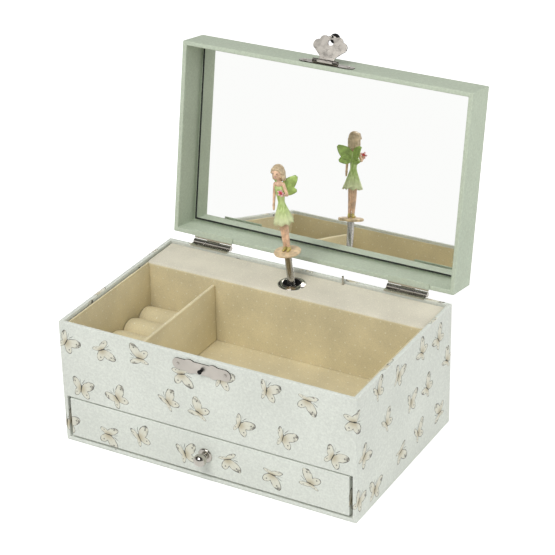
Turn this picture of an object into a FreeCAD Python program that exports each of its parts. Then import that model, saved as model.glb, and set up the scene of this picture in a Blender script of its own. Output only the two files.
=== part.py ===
"""Jewellery box with a musical movement, a drawer and a figure that turns on a spring post.

Millimetres and degrees. The origin is the middle of the case's underside, +X is the box's right,
-Y its front and +Z up. The lid stands open; its pieces are first described shut, then swung.
"""
import FreeCAD, Part
import math
import os
import re
import Sketcher

# Driving sizes.
SIZES = {
    # case of papered boards
    "case_width": 220,
    "case_depth": 139.5,
    "case_height": 91,
    "board": 4,
    "drawer_opening": 30.5,
    "tray_board": 3,
    "tray_pad": 3,
    "liner": 1.2,
    "liner_drop": 2,
    # music compartment behind the tray
    "music_wall": 3,
    "music_gap": 0.9,
    "cover": 2.5,
    "cover_drop": 1.8,
    "cleat": 8,
    # ring bay at the left of the tray
    "ring_bay": 51,
    "divider": 2.4,
    "divider_drop": 7,
    "divider_round": 1,
    "roll_height": 18.5,
    "roll_gap": 0.4,
    "roll_crown": 0.8,
    "roll_foot": 0.8,
    "roll_end": 3,
    # lid
    "lid_inset": 0.8,
    "lid_height": 26.5,
    "lid_board": 3.5,
    "lid_rail": 4.5,
    "lid_open": 99.5,
    "mirror": 2.5,
    "mirror_gap": 0.6,
    # lid hinges
    "hinge_inset": 34,
    "hinge_length": 30,
    "hinge_stand": 0.6,
    "hinge_leaf": 0.7,
    "hinge_knuckle": 1.9,
    "hinge_pin": 0.8,
    "leaf_gap": 0.4,
    "side_gap": 0.2,
    "heel_gap": 0.3,
    "screw_pitch": 18,
    "screw_head": 1.2,
    "screw_shank": 0.6,
    "screw_length": 5,
    # catch plate and stud on the case
    "stud_drop": 8.4,
    "stud_neck": 1.1,
    "stud_head": 1.5,
    "stud_length": 2.7,
    "stud_cap": 0.9,
    "catch_length": 43,
    "catch_height": 10,
    "catch_sheet": 0.8,
    "catch_lobe": 4,
    "catch_rise": 0.8,
    "catch_waist": 1,
    "nail_shank": 0.5,
    "nail_head": 1.1,
    "nail_cap": 0.4,
    "nail_length": 3,
    # hasp on the lid
    "hasp_reach": 13.6,
    "hasp_play": 0.6,
    "hasp_land": 1.9,
    "hasp_edge": 0.2,
    "hasp_lobe": 3.6,
    "hasp_width": 25.5,
    "hasp_shoulder": 11.2,
    "hasp_crest": 14.4,
    "hasp_crest_half": 5.2,
    "hasp_sheet": 0.8,
    "hasp_lean": 25,
    "hasp_plate_length": 41,
    "hasp_plate_height": 8,
    "hasp_plate": 0.6,
    "hasp_knuckle": 1.5,
    "hasp_barrel": 18.5,
    "hasp_middle": 12,
    "hasp_pin": 0.6,
    "hasp_ball": 3.5,
    "hasp_shank": 0.7,
    # drawer
    "drawer_gap": 1,
    "drawer_lift": 0.3,
    "drawer_front": 5,
    "drawer_side": 3,
    "drawer_drop": 5,
    "drawer_floor": 2.5,
    "drawer_pad": 1,
    "drawer_clear": 2,
    "knob_ball": 4.4,
    "knob_neck": 2,
    "knob_gap": 1,
    "rose_radius": 5.15,
    "rose_height": 1.4,
    "rose_round": 0.7,
    "knob_screw": 1.2,
    "knob_screw_head": 3,
    "knob_screw_cap": 1.2,
    "knob_bite": 4,
    # wheels of the movement
    "gear_module": 1,
    "wheel_width": 2,
    "wheel_gap": 1.25,
    "wheel_disc": 1.2,
    "wheel_rim": 1,
    "tooth": 0.9,
    "tooth_reach": 0.8,
    "root_gap": 0.2,
    "peg_radius": 0.6,
    "peg_clear": 0.6,
    "peg_gap": 0.3,
    # frame, drum, comb and brake of the movement
    "plate": 2.5,
    "plate_margin": 1,
    "spindle_clear": 1.85,
    "spindle_radius": 1.5,
    "arm": 3,
    "arm_half": 4,
    "arm_gap": 0.3,
    "bearing": 2.5,
    "shaft_end": 1.5,
    "drum_gap": 0.8,
    "drum_left": 14,
    "drum_right": 7.5,
    "drum_shaft": 1,
    "drum_pin": 0.25,
    "pin_proud": 0.5,
    "comb_sheet": 1,
    "comb_gap": 0.3,
    "comb_height": 11,
    "comb_heel": 4,
    "comb_slot": 0.3,
    "comb_screw_inset": 4.3,
    "fly_radius": 6.5,
    "fly_blade": 0.6,
    "fly_width": 18,
    "fly_shaft": 0.8,
    "fly_gap": 3,
    "movement_screw": 1,
    "movement_head": 2,
    "movement_cap": 1.2,
    "movement_bite": 2.5,
    "movement_edge": 2.7,
    # mainspring, key and stop pin
    "arbor_radius": 1.5,
    "barrel_gap": 0.6,
    "barrel_wall": 0.8,
    "barrel_in": 0.5,
    "spring_eye": 3,
    "key_gap": 1,
    "key_boss": 2.8,
    "key_length": 16,
    "key_loop": 6,
    "key_eye": 3,
    "key_sheet": 2,
    "key_hole": 3.2,
    "stop_pin": 0.7,
    "stop_x": 31,
    "stop_travel": 2.6,
    "stop_play": 0.3,
    "stop_clear": 0.6,
    "stop_lid_gap": 0.1,
    # spring post
    "grommet_flange": 9.75,
    "grommet_bore": 6.25,
    "grommet_wall": 1,
    "grommet_height": 1.4,
    "grommet_round": 0.6,
    "spring_radius": 2.1,
    "spring_wire": 0.8,
    "spring_gap": 0.45,
    "spring_rise": 23,
    "spring_seat": 0.7,
    "seat_height": 1.5,
    "seat_lip": 0.1,
    "stem_gap": 0.5,
    "stem_length": 3,
    # figure
    "figure_lean": 6.3,
    "disc_radius": 9.25,
    "disc_height": 2,
    "figure_height": 65,
    "hem_height": 20.4,
    "waist_height": 37.6,
    "shoulder_height": 52.5,
    "head_radius": 4.8,
    "neck_radius": 1.6,
    "ankle_radius": 1.3,
    "leg_radius": 1.9,
    "leg_apart": 1.6,
    "hem_radius": 7,
    "waist_radius": 2.4,
    "shoulder_radius": 4,
    "arm_radius": 1.1,
    "arm_out": 4.6,
    "hand_height": 28,
    "flower_radius": 2.6,
    "flower_out": 6.5,
    "flower_height": 46,
    "wing_span": 12,
    "wing_height": 19,
    "wing_sheet": 0.9,
    "wing_root": 3.1,
    "wing_sweep": 38,
    # clearance of a shaft in its bearing, and of a fixing in its hole
    "running": 0.05,
    "fitted": 0.02,
}
ROLLS = 5
SPUR_TEETH = 16
PINION_TEETH = 8
CROWN_PEGS = 22
MAIN_PEGS = 24
DRUM_PINS = 36
COMB_TEETH = 18
NOTE_STEP = 7
PIN_STEP = 137.5
FULL_TURN = 360
QUARTERS = 4
NEAR = 0.01
SIDES = (-1, 1)

X_AXIS = FreeCAD.Vector(1, 0, 0)
Y_AXIS = FreeCAD.Vector(0, 1, 0)
Z_AXIS = FreeCAD.Vector(0, 0, 1)

doc = FreeCAD.newDocument("jewellery_box")
sheet = doc.addObject("Spreadsheet::Sheet", "Sizes")
for row, (alias, number) in enumerate(SIZES.items(), start=1):
    sheet.set(f"A{row}", alias)
    sheet.set(f"B{row}", str(number))
    sheet.setAlias(f"B{row}", alias)
doc.recompute()

PIECES = []


def size(alias):
    """A driving size as a number."""
    return float(sheet.get(alias))


def cell(word):
    """A word of a formula, with its sheet's name where it is a size."""
    return f"Sizes.{word[0]}" if word[0] in SIZES else word[0]


def bind(shape, prop, formula):
    """Drives one property by a formula of the sizes' names."""
    shape.setExpression(prop, re.sub(r"[a-z]\w*", cell, formula))


def place(shape, x, y, z):
    for axis, formula in zip("xyz", (x, y, z)):
        bind(shape, f"Placement.Base.{axis}", formula)
    return shape


def turn(shape, axis, angle):
    """Turns a shape about an axis through its own origin."""
    shape.Placement = FreeCAD.Placement(FreeCAD.Vector(), FreeCAD.Rotation(axis, 1))
    bind(shape, "Placement.Rotation.Angle", angle)
    return shape


def keep(label, shape):
    """Names a finished piece."""
    shape.Label = label
    PIECES.append(shape)
    return shape


def about(centre, half):
    """Low and high formulas at an equal distance from a centre."""
    return f"({centre} - ({half}))", f"({centre} + ({half}))"


def box(name, x, y, z):
    """A block between a low and a high formula on each axis."""
    shape = doc.addObject("Part::Box", name)
    for side, (low, high) in zip(("Length", "Width", "Height"), (x, y, z)):
        bind(shape, side, f"({high}) - ({low})")
    return place(shape, x[0], y[0], z[0])


def rod(name, axis, span, across, radius, tip=None):
    """A cylinder along an axis between two formulas, or a cone if the far end's radius is given."""
    shape = doc.addObject("Part::Cone" if tip else "Part::Cylinder", name)
    bind(shape, "Height", f"({span[1]}) - ({span[0]})")
    bind(shape, "Radius1" if tip else "Radius", radius)
    if tip:
        bind(shape, "Radius2", tip)
    if axis == "x":
        turn(shape, Y_AXIS, "90")
        return place(shape, span[0], across[0], across[1])
    if axis == "y":
        turn(shape, X_AXIS, "-90")
        return place(shape, across[0], span[0], across[1])
    return place(shape, across[0], across[1], span[0])


def rods(name, axis, span, places, radius):
    """A like rod at each place."""
    return [rod(f"{name}_{n}", axis, span, spot, radius) for n, spot in enumerate(places)]


def ball(name, x, y, z, radius):
    shape = doc.addObject("Part::Sphere", name)
    bind(shape, "Radius", radius)
    return place(shape, x, y, z)


def join(*shapes):
    fused = doc.addObject("Part::MultiFuse", f"{shapes[0].Name}_joined")
    fused.Shapes = list(shapes)
    fused.Refine = True
    return fused


def group(*shapes):
    """Separate solids kept together as one piece."""
    together = doc.addObject("Part::Compound", f"{shapes[0].Name}_group")
    together.Links = list(shapes)
    return together


def cut(base, *tools):
    result = doc.addObject("Part::Cut", f"{base.Name}_cut")
    result.Base = base
    result.Tool = tools[0] if len(tools) == 1 else join(*tools)
    return result


def rounded(base, radius, chosen):
    """Rounds the edges that a test of their boxes picks."""
    doc.recompute()
    result = doc.addObject("Part::Fillet", f"{base.Name}_rounded")
    result.Base = base
    edges = enumerate(base.Shape.Edges, start=1)
    result.Edges = [(number, radius, radius) for number, edge in edges if chosen(edge.BoundBox)]
    return result


def fixings(name, axis, head, shank, places, head_radius, shank_radius):
    """A headed nail or screw at each place, its head and shank given as spans along an axis."""
    made = []
    for n, spot in enumerate(places):
        cap = rod(f"{name}_head_{n}", axis, head, spot, head_radius)
        stem = rod(f"{name}_shank_{n}", axis, shank, spot, shank_radius)
        made.append(join(cap, stem))
    return group(*made)


def outline_plate(name, points, thickness):
    """A flat plate from a closed outline in its own XY plane, with its underside at zero."""
    body = doc.addObject("PartDesign::Body", name)
    sketch = body.newObject("Sketcher::SketchObject", f"{name}_outline")
    plane = next(part for part in body.Origin.OriginFeatures if part.Role == "XY_Plane")
    sketch.AttachmentSupport = [(plane, "")]
    sketch.MapMode = "FlatFace"
    count = len(points)
    angles = [math.tau * n / count for n in range(count)]
    corners = [FreeCAD.Vector(math.cos(angle), math.sin(angle)) for angle in angles]
    for number in range(count):
        sketch.addGeometry(Part.LineSegment(corners[number], corners[(number + 1) % count]), False)
    for number in range(count):
        sketch.addConstraint(Sketcher.Constraint("Coincident", number, 2, (number + 1) % count, 1))
    for number, point in enumerate(points):
        for kind, formula in zip(("DistanceX", "DistanceY"), point):
            index = sketch.addConstraint(Sketcher.Constraint(kind, -1, 1, number, 1, 1.0))
            bind(sketch, f"Constraints[{index}]", formula)
    pad = body.newObject("PartDesign::Pad", f"{name}_pad")
    pad.Profile = sketch
    bind(pad, "Length", thickness)
    return body


# Levels and faces of the case that several pieces share.
SIDE = "(case_width / 2)"
FRONT = "(-case_depth / 2)"
BACK = "(case_depth / 2)"
INNER_X = "(case_width / 2 - board)"
INNER_FRONT = "(board - case_depth / 2)"
INNER_BACK = "(case_depth / 2 - board)"
OPENING_TOP = "(board + drawer_opening)"
TRAY_TOP = f"({OPENING_TOP} + tray_board)"
PAD_TOP = f"({TRAY_TOP} + tray_pad)"
LINER_TOP = "(case_height - liner_drop)"
COVER_TOP = "(case_height - cover_drop)"
COVER_LOW = f"({COVER_TOP} - cover)"
STUD_Z = "(case_height - stud_drop)"

# The lid's faces when shut, and its hinge line.
LID_X = "(case_width / 2 - lid_inset)"
LID_Y = "(case_depth / 2 - lid_inset)"
LID_LOW = "(case_height + 2 * hinge_leaf + leaf_gap)"
LID_TOP = f"({LID_LOW} + lid_height)"
LID_UNDER = f"({LID_TOP} - lid_board)"
HINGE_X = "(case_width / 2 - hinge_inset)"
HINGE_Y = f"({BACK} + hinge_knuckle + hinge_stand)"
HINGE_Z = "(case_height + hinge_leaf + leaf_gap / 2)"

# Pitch radii, and how deep teeth and pegs reach.
SPUR = f"(gear_module * {SPUR_TEETH} / 2)"
PINION = f"(gear_module * {PINION_TEETH} / 2)"
CROWN = f"(gear_module * {CROWN_PEGS} / 2)"
MAIN = f"(gear_module * {MAIN_PEGS} / 2)"
TOOTH_ROOT = "(tooth_reach + root_gap)"
PEG_LENGTH = f"(peg_clear + tooth_reach + {TOOTH_ROOT} - peg_gap)"
DRUM = f"({SPUR} + tooth_reach + peg_clear - {PEG_LENGTH} - pin_proud - drum_gap)"

# The movement stands off the back board and hangs from the cover downwards.
PLATE_FACE = f"({INNER_BACK} - plate)"
SPINDLE_Y = f"({PLATE_FACE} - spindle_clear - {CROWN} - wheel_rim)"
LEDGE = f"({SPINDLE_Y} - {CROWN} - wheel_rim - music_gap - music_wall)"
SEAT_TOP = f"({COVER_LOW} - spring_seat)"
ARM_TOP = f"({SEAT_TOP} - seat_height - arm_gap)"
CROWN_TOP = f"({ARM_TOP} - arm - arm_gap)"
CROWN_LOW = f"({CROWN_TOP} - wheel_disc)"
AXIS_Z = f"({CROWN_LOW} - peg_clear - tooth_reach - {SPUR})"
FLY_Z = f"({AXIS_Z} - {SPUR} - {PINION})"
LEFT_POST = "(-drum_left - wheel_gap - bearing)"
PINION_X = f"({LEFT_POST} - wheel_gap - wheel_width / 2)"
MAIN_X = f"({PINION_X} - {MAIN})"
RIGHT_POST = f"({CROWN} + wheel_width / 2 + wheel_gap)"
FLY_LEFT = f"({RIGHT_POST} + bearing + fly_gap)"
FAR_POST = f"({FLY_LEFT} + fly_width + fly_gap)"
COMB_TOP = f"({AXIS_Z} - {DRUM} - pin_proud - comb_gap)"
COMB_LOW = f"({COMB_TOP} - comb_height)"
COMB_BACK = f"({SPINDLE_Y} + comb_sheet / 2)"
COMB_FACE = f"({SPINDLE_Y} - comb_sheet / 2)"
MAIN_FACE = f"({SPINDLE_Y} + {PINION} + tooth_reach + peg_clear)"
MAIN_BACK = f"({MAIN_FACE} + wheel_disc)"
BARREL_FACE = f"({MAIN_BACK} + barrel_gap)"
BED_LEFT = f"({MAIN_X} - {MAIN} - wheel_rim - plate_margin)"
BED_RIGHT = f"({RIGHT_POST} + bearing + plate_margin)"
BED_TOP = f"({COVER_LOW} - plate_margin)"
BED_LOW = f"({COMB_LOW} - plate_margin)"
STOP_Y = f"({INNER_BACK} - stop_pin - side_gap)"

# Places of the fixings.
hinge_spots = [(f"{side} * {HINGE_X} + {end} * screw_pitch / 2", f"{BACK} - board / 2")
               for side in SIDES for end in SIDES]
bed_spots = [
    (f"{BED_LEFT} + movement_edge", f"{BED_LOW} + movement_edge"),
    (f"{BED_LEFT} + movement_edge", f"{BED_TOP} - movement_edge"),
    (f"{BED_RIGHT} - movement_edge", f"{BED_TOP} - movement_edge"),
    (f"{FLY_LEFT} + fly_width / 2", FLY_Z),
]
comb_spots = [(x, f"{COMB_LOW} + comb_heel / 2")
              for x in ("comb_screw_inset - drum_left", "drum_right - comb_screw_inset")]
catch_half = "(catch_length / 2 - catch_lobe)"
catch_z = f"({STUD_Z} + catch_rise)"
catch_spots = [(f"{side} * {catch_half}", catch_z) for side in SIDES]
hasp_y = f"(-{LID_Y} - hasp_plate - hasp_knuckle)"
hasp_z = f"({STUD_Z} + hasp_reach)"
hasp_plate_half = "(hasp_plate_length / 2 - hasp_plate_height / 2)"
hasp_plate_z = f"({hasp_z} + hasp_plate_height / 2 - hasp_knuckle)"
hasp_spots = [(f"{side} * {hasp_plate_half}", hasp_plate_z) for side in SIDES]

# Case boards: a base, two sides that stand on it, and a back and a front between the sides.
keep("base_board", box("base_panel", about("0", SIDE), (FRONT, BACK), ("0", "board")))
for word, wall in (("left", (f"-{SIDE}", f"-{INNER_X}")), ("right", (INNER_X, SIDE))):
    keep(f"{word}_side_board", box(f"{word}_panel", wall, (FRONT, BACK), ("board", "case_height")))
back_panel = box("back_panel", about("0", INNER_X), (INNER_BACK, BACK), ("board", "case_height"))
arbor_hole = rod("arbor_hole", "y", (INNER_BACK, BACK), (MAIN_X, AXIS_Z), "key_hole")
bed_holes = rods("bed_hole", "y", (INNER_BACK, f"{INNER_BACK} + movement_bite"), bed_spots,
                 "movement_screw + fitted")
hinge_holes = rods("hinge_hole", "z", ("case_height - screw_length", "case_height"), hinge_spots,
                   "screw_shank + fitted")
keep("back_board", cut(back_panel, arbor_hole, *bed_holes, *hinge_holes))
front_panel = box("front_panel", about("0", INNER_X), (FRONT, INNER_FRONT), (OPENING_TOP, "case_height"))
nail_depth = (FRONT, f"{FRONT} + nail_length")
catch_holes = rods("catch_hole", "y", nail_depth, catch_spots, "nail_shank + fitted")
stud_hole = rod("stud_hole", "y", nail_depth, ("0", STUD_Z), "stud_neck + fitted")
keep("front_board", cut(front_panel, stud_hole, *catch_holes))

# Tray: floor board and pad, velour liners and the divider of the ring bay.
pad_x = f"({INNER_X} - liner)"
tray_y = (f"{INNER_FRONT} + liner", LEDGE)
wall_z = (TRAY_TOP, LINER_TOP)
tray_floor = box("tray_floor", about("0", INNER_X), (INNER_FRONT, INNER_BACK), (OPENING_TOP, TRAY_TOP))
keep("tray_floor_board", tray_floor)
floor_pad = keep("tray_floor_pad", box("floor_pad", about("0", pad_x), tray_y, (TRAY_TOP, PAD_TOP)))
front_liner = box("front_liner", about("0", INNER_X), (INNER_FRONT, f"{INNER_FRONT} + liner"), wall_z)
keep("tray_front_liner", front_liner)
left_liner = box("left_liner", (f"-{INNER_X}", f"-{pad_x}"), tray_y, wall_z)
right_liner = box("right_liner", (pad_x, INNER_X), tray_y, wall_z)
keep("tray_side_liners", group(left_liner, right_liner))
divider_x = "(liner + ring_bay - case_width / 2 + board)"
divider_top = size("case_height") - size("divider_drop")
divider = box("divider_card", (divider_x, f"{divider_x} + divider"), tray_y,
              (PAD_TOP, "case_height - divider_drop"))
divider_round = min(size("divider_round"), size("divider") / 2 - size("fitted"))
keep("tray_divider", rounded(divider, divider_round, lambda edge: edge.ZMin > divider_top - NEAR
                             and edge.YLength > size("divider") + NEAR))

# Music compartment: a wall behind the tray, and a cover that rests on the wall and on two cleats.
cover_z = (COVER_LOW, COVER_TOP)
music_wall = box("wall_card", about("0", INNER_X), (LEDGE, f"{LEDGE} + music_wall"), (TRAY_TOP, COVER_LOW))
keep("music_wall", music_wall)
cover_card = box("cover_card", about("0", INNER_X), (LEDGE, INNER_BACK), cover_z)
cover_hole = rod("cover_hole", "z", cover_z, ("0", SPINDLE_Y), "grommet_bore + grommet_wall + fitted")
stop_notch = box("stop_notch", about("stop_x", "stop_pin + stop_play"),
                 (f"{STOP_Y} - stop_pin - stop_play", INNER_BACK), cover_z)
keep("music_cover", cut(cover_card, cover_hole, stop_notch))
cleats = [box(f"cleat_{n}", span, (f"{LEDGE} + music_wall", INNER_BACK), (f"{COVER_LOW} - cleat", COVER_LOW))
          for n, span in enumerate(((f"-{INNER_X}", f"cleat - {INNER_X}"), (f"{INNER_X} - cleat", INNER_X)))]
keep("cover_cleats", group(*cleats))

# Ring rolls: velour loaves side by side in the bay, with crowned tops and drawn-in ends.
doc.recompute()
bay_left = left_liner.Shape.BoundBox.XMax
bay_front = front_liner.Shape.BoundBox.YMax
pad_top = floor_pad.Shape.BoundBox.ZMax
roll_pitch = (music_wall.Shape.BoundBox.YMin - bay_front) / ROLLS
roll_width = roll_pitch - size("roll_gap")
roll_length = size("ring_bay") - size("roll_gap") * 2


def roll_section(x, y, drawn):
    """The loaf's cross-section at one station, drawn in on its top and sides."""
    half = roll_width / 2 - drawn
    foot = half - size("roll_foot")
    top = pad_top + size("roll_height") - drawn
    shoulder = top - half
    arch = half * math.sqrt(0.5)

    def point(across, z):
        return FreeCAD.Vector(x, y + across, z)

    edges = [
        Part.LineSegment(point(-foot, pad_top), point(foot, pad_top)),
        Part.LineSegment(point(foot, pad_top), point(half, shoulder)),
        Part.Arc(point(half, shoulder), point(arch, shoulder + arch), point(0, top)),
        Part.Arc(point(0, top), point(-arch, shoulder + arch), point(-half, shoulder)),
        Part.LineSegment(point(-half, shoulder), point(-foot, pad_top)),
    ]
    return Part.Wire([edge.toShape() for edge in edges])


def ring_roll(number):
    start = bay_left + size("roll_gap")
    y = bay_front + roll_pitch * (number + 0.5)
    crown = size("roll_crown")
    end = size("roll_end")
    stations = ((0, crown * 2), (end, crown), (roll_length / 2, 0),
                (roll_length - end, crown), (roll_length, crown * 2))
    return Part.makeLoft([roll_section(start + along, y, drawn) for along, drawn in stations], True, False)


ring_rolls = doc.addObject("Part::Feature", "loaves")
ring_rolls.Shape = Part.makeCompound([ring_roll(number) for number in range(ROLLS)])
keep("ring_rolls", ring_rolls)

# Grommet where the spring post comes through the cover.
spindle_spot = ("0", SPINDLE_Y)
flange_z = (COVER_TOP, f"{COVER_TOP} + grommet_height")
flange_top = size("case_height") - size("cover_drop") + size("grommet_height")
flange = rounded(rod("flange", "z", flange_z, spindle_spot, "grommet_flange"), size("grommet_round"),
                 lambda edge: edge.ZMin > flange_top - NEAR)
sleeve = rod("sleeve", "z", cover_z, spindle_spot, "grommet_bore + grommet_wall")
grommet_hole = rod("grommet_hole", "z", (COVER_LOW, flange_z[1]), spindle_spot, "grommet_bore")
keep("spindle_grommet", cut(join(flange, sleeve), grommet_hole))

# Catch plate with lobed ends, its nails and the stud that the hasp drops over.
catch_face = f"({FRONT} - catch_sheet)"
catch_y = (catch_face, FRONT)
catch_bar = box("catch_bar", about("0", catch_half), catch_y,
                about(catch_z, "catch_height / 2 - catch_waist"))
catch_ends = rods("catch_end", "y", catch_y, catch_spots, "catch_lobe")
catch_lobes = rods("catch_lobe", "y", catch_y, [(f"{side} * {catch_half} / 2", catch_z) for side in SIDES],
                   "catch_height / 2")
catch_bores = rods("catch_bore", "y", catch_y, catch_spots, "nail_shank + fitted")
stud_bore = rod("stud_bore", "y", catch_y, ("0", STUD_Z), "stud_neck + fitted")
keep("catch_plate", cut(join(catch_bar, *catch_ends, *catch_lobes), stud_bore, *catch_bores))
keep("catch_nails", fixings("catch_nail", "y", (f"{catch_face} - nail_cap", catch_face),
                            (catch_face, nail_depth[1]), catch_spots, "nail_head", "nail_shank"))
stud_tip = f"({catch_face} - stud_length)"
stud_cap = rod("stud_button", "y", (stud_tip, f"{stud_tip} + stud_cap"), ("0", STUD_Z), "stud_head")
stud_stem = rod("stud_stem", "y", (f"{stud_tip} + stud_cap", nail_depth[1]), ("0", STUD_Z), "stud_neck")
keep("catch_stud", join(stud_cap, stud_stem))


def swung(y, z):
    """Where a point of the shut lid stands with the lid open."""
    back = f"({y} - {HINGE_Y})"
    up = f"({z} - {HINGE_Z})"
    return (f"{HINGE_Y} + {back} * cos(lid_open) + {up} * sin(lid_open)",
            f"{HINGE_Z} - {back} * sin(lid_open) + {up} * cos(lid_open)")


def swing(shape, x="0", y="0", z="0"):
    """Stands a piece of the lid open, from where its origin lies with the lid shut."""
    return place(turn(shape, X_AXIS, "-lid_open"), x, *swung(y, z))


def lid_box(name, x, y, z):
    return swing(box(name, x, y, z), x[0], y[0], z[0])


# Lid: four rails under a top board, with the mirror against the board.
rail_z = (LID_LOW, LID_UNDER)
rail_y = about("0", f"{LID_Y} - lid_rail")
front_rail = box("front_rail", about("0", LID_X), (f"-{LID_Y}", f"lid_rail - {LID_Y}"), rail_z)
hasp_nail_end = f"(nail_length - {LID_Y})"
hasp_holes = rods("hasp_hole", "y", (f"-{LID_Y}", hasp_nail_end), hasp_spots, "nail_shank + fitted")
keep("lid_front_rail", swing(cut(front_rail, *hasp_holes)))
back_rail = box("back_rail", about("0", LID_X), (f"{LID_Y} - lid_rail", LID_Y), rail_z)
lid_holes = rods("lid_hole", "z", (LID_LOW, f"{LID_LOW} + screw_length"), hinge_spots, "screw_shank + fitted")
keep("lid_back_rail", swing(cut(back_rail, *lid_holes)))
for word, span in (("left", (f"-{LID_X}", f"lid_rail - {LID_X}")), ("right", (f"{LID_X} - lid_rail", LID_X))):
    keep(f"lid_{word}_rail", lid_box(f"{word}_rail", span, rail_y, rail_z))
keep("lid_top_board", lid_box("lid_panel", about("0", LID_X), about("0", LID_Y), (LID_UNDER, LID_TOP)))
keep("mirror", lid_box("mirror_glass", about("0", f"{LID_X} - lid_rail - mirror_gap"),
                       about("0", f"{LID_Y} - lid_rail - mirror_gap"), (f"{LID_UNDER} - mirror", LID_UNDER)))


# Hinges: two knuckles on the case leaf, one on the lid leaf between them, and a pin through all three.
def hinge_leaf(name, centre, levels, knuckles):
    """A leaf with its knuckles, given as spans along the barrel from its middle."""
    heel = f"({HINGE_Y} - hinge_knuckle - heel_gap)"
    barrel = about(centre, "hinge_length / 2")
    parts = [box(f"{name}_sheet", barrel, (f"{INNER_BACK} + heel_gap", heel), levels)]
    for n, (low, high) in enumerate(knuckles):
        span = (f"{centre} + {low}", f"{centre} + {high}")
        parts.append(box(f"{name}_tab_{n}", span, (heel, HINGE_Y), levels))
        parts.append(rod(f"{name}_knuckle_{n}", "x", span, (HINGE_Y, HINGE_Z), "hinge_knuckle"))
    spots = [(f"{centre} + {end} * screw_pitch / 2", f"{BACK} - board / 2") for end in SIDES]
    holes = rods(f"{name}_hole", "z", levels, spots, "screw_head + fitted")
    bore = rod(f"{name}_bore", "x", barrel, (HINGE_Y, HINGE_Z), "hinge_pin + running")
    return cut(join(*parts), bore, *holes)


case_leaf_z = ("case_height", "case_height + hinge_leaf")
lid_leaf_z = (f"{LID_LOW} - hinge_leaf", LID_LOW)
outer_knuckles = (("(-hinge_length / 2)", "(-hinge_length / 6 - side_gap)"),
                  ("(hinge_length / 6 + side_gap)", "(hinge_length / 2)"))
middle_knuckle = (("(-hinge_length / 6)", "(hinge_length / 6)"),)
pins = []
for word, side in (("left", -1), ("right", 1)):
    centre = f"({side} * {HINGE_X})"
    keep(f"{word}_hinge_case_leaf", hinge_leaf(f"{word}_case", centre, case_leaf_z, outer_knuckles))
    keep(f"{word}_hinge_lid_leaf", swing(hinge_leaf(f"{word}_lid", centre, lid_leaf_z, middle_knuckle)))
    pins.append(rod(f"{word}_pin", "x", about(centre, "hinge_length / 2"), (HINGE_Y, HINGE_Z), "hinge_pin"))
keep("hinge_pins", group(*pins))
keep("hinge_case_screws", fixings("case_screw", "z", case_leaf_z,
                                  ("case_height - screw_length", "case_height"),
                                  hinge_spots, "screw_head", "screw_shank"))
keep("hinge_lid_screws", swing(fixings("lid_screw", "z", lid_leaf_z, (LID_LOW, f"{LID_LOW} + screw_length"),
                                       hinge_spots, "screw_head", "screw_shank")))

# Hasp base plate on the lid's front rail, with the outer knuckles, its nails and the hasp's pin.
base_y = (f"(-{LID_Y} - hasp_plate)", f"(-{LID_Y})")
hasp_line = (hasp_y, hasp_z)
base_bar = box("hasp_bar", about("0", hasp_plate_half), base_y, about(hasp_plate_z, "hasp_plate_height / 2"))
base_ends = rods("hasp_end", "y", base_y, hasp_spots, "hasp_plate_height / 2")
knuckles = []
for n, span in enumerate((("-hasp_barrel / 2", "-hasp_middle / 2"), ("hasp_middle / 2", "hasp_barrel / 2"))):
    knuckles.append(rod(f"hasp_knuckle_{n}", "x", span, hasp_line, "hasp_knuckle"))
    knuckles.append(box(f"hasp_tab_{n}", span, (hasp_y, base_y[1]), about(hasp_z, "hasp_pin")))
hasp_bore = rod("hasp_bore", "x", about("0", "hasp_barrel / 2"), hasp_line, "hasp_pin + running")
base_bores = rods("hasp_base_bore", "y", base_y, hasp_spots, "nail_shank + fitted")
keep("hasp_base_plate", swing(cut(join(base_bar, *base_ends, *knuckles), hasp_bore, *base_bores)))
keep("hasp_nails", swing(fixings("hasp_nail", "y", (f"{base_y[0]} - nail_cap", base_y[0]),
                                 (base_y[0], hasp_nail_end), hasp_spots, "nail_head", "nail_shank")))
hasp_rod = rod("hasp_rod", "x", about("0", "hasp_barrel / 2"), hasp_line, "hasp_pin")
keep("hasp_pin", swing(group(hasp_rod)))


# Hasp: a fan with five lobes, a hole for the stud and a ball to pull, about its own hinge line.
def lean_hasp(shape):
    return place(turn(shape, X_AXIS, "-lid_open - hasp_lean"), "0", *swung(hasp_y, hasp_z))


hasp_hole = "(stud_head + hasp_play)"
shank_out = f"(hasp_reach + {hasp_hole} + hasp_land)"
neck = "(hasp_middle / 2 - side_gap)"
leaf_z = ("(hasp_knuckle - hasp_sheet)", "hasp_knuckle")
shoulder = ("(hasp_width / 2 - hasp_lobe)", "hasp_shoulder")
crest = ("hasp_crest_half", "hasp_crest")
flare = ("(hasp_width / 2 - hasp_lobe * 0.14)", "(hasp_shoulder - hasp_lobe / 2)")
right_edge = [(neck, "0"), (neck, "hasp_lobe"), flare, shoulder, crest]
left_edge = [(f"-{x}", y) for x, y in reversed(right_edge)]
fan = outline_plate("hasp_fan", right_edge + [("0", "hasp_reach")] + left_edge, "hasp_sheet")
place(turn(fan, Z_AXIS, "180"), "0", "0", leaf_z[0])
lobe_spots = [(f"{side} * {x}", f"-{y}") for side in SIDES for x, y in (shoulder, crest)]
lobes = rods("hasp_lobe", "z", leaf_z, lobe_spots, "hasp_lobe")
tip = rod("hasp_tip", "z", leaf_z, ("0", "-hasp_reach"), f"{hasp_hole} + hasp_land + hasp_shank + hasp_edge")
middle = rod("hasp_middle", "x", about("0", neck), ("0", "0"), "hasp_knuckle")
stud_eye = rod("stud_eye", "z", leaf_z, ("0", "-hasp_reach"), hasp_hole)
shank_eye = rod("shank_eye", "z", leaf_z, ("0", f"-{shank_out}"), "hasp_shank + fitted")
pin_eye = rod("pin_eye", "x", about("0", neck), ("0", "0"), "hasp_pin + running")
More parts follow.
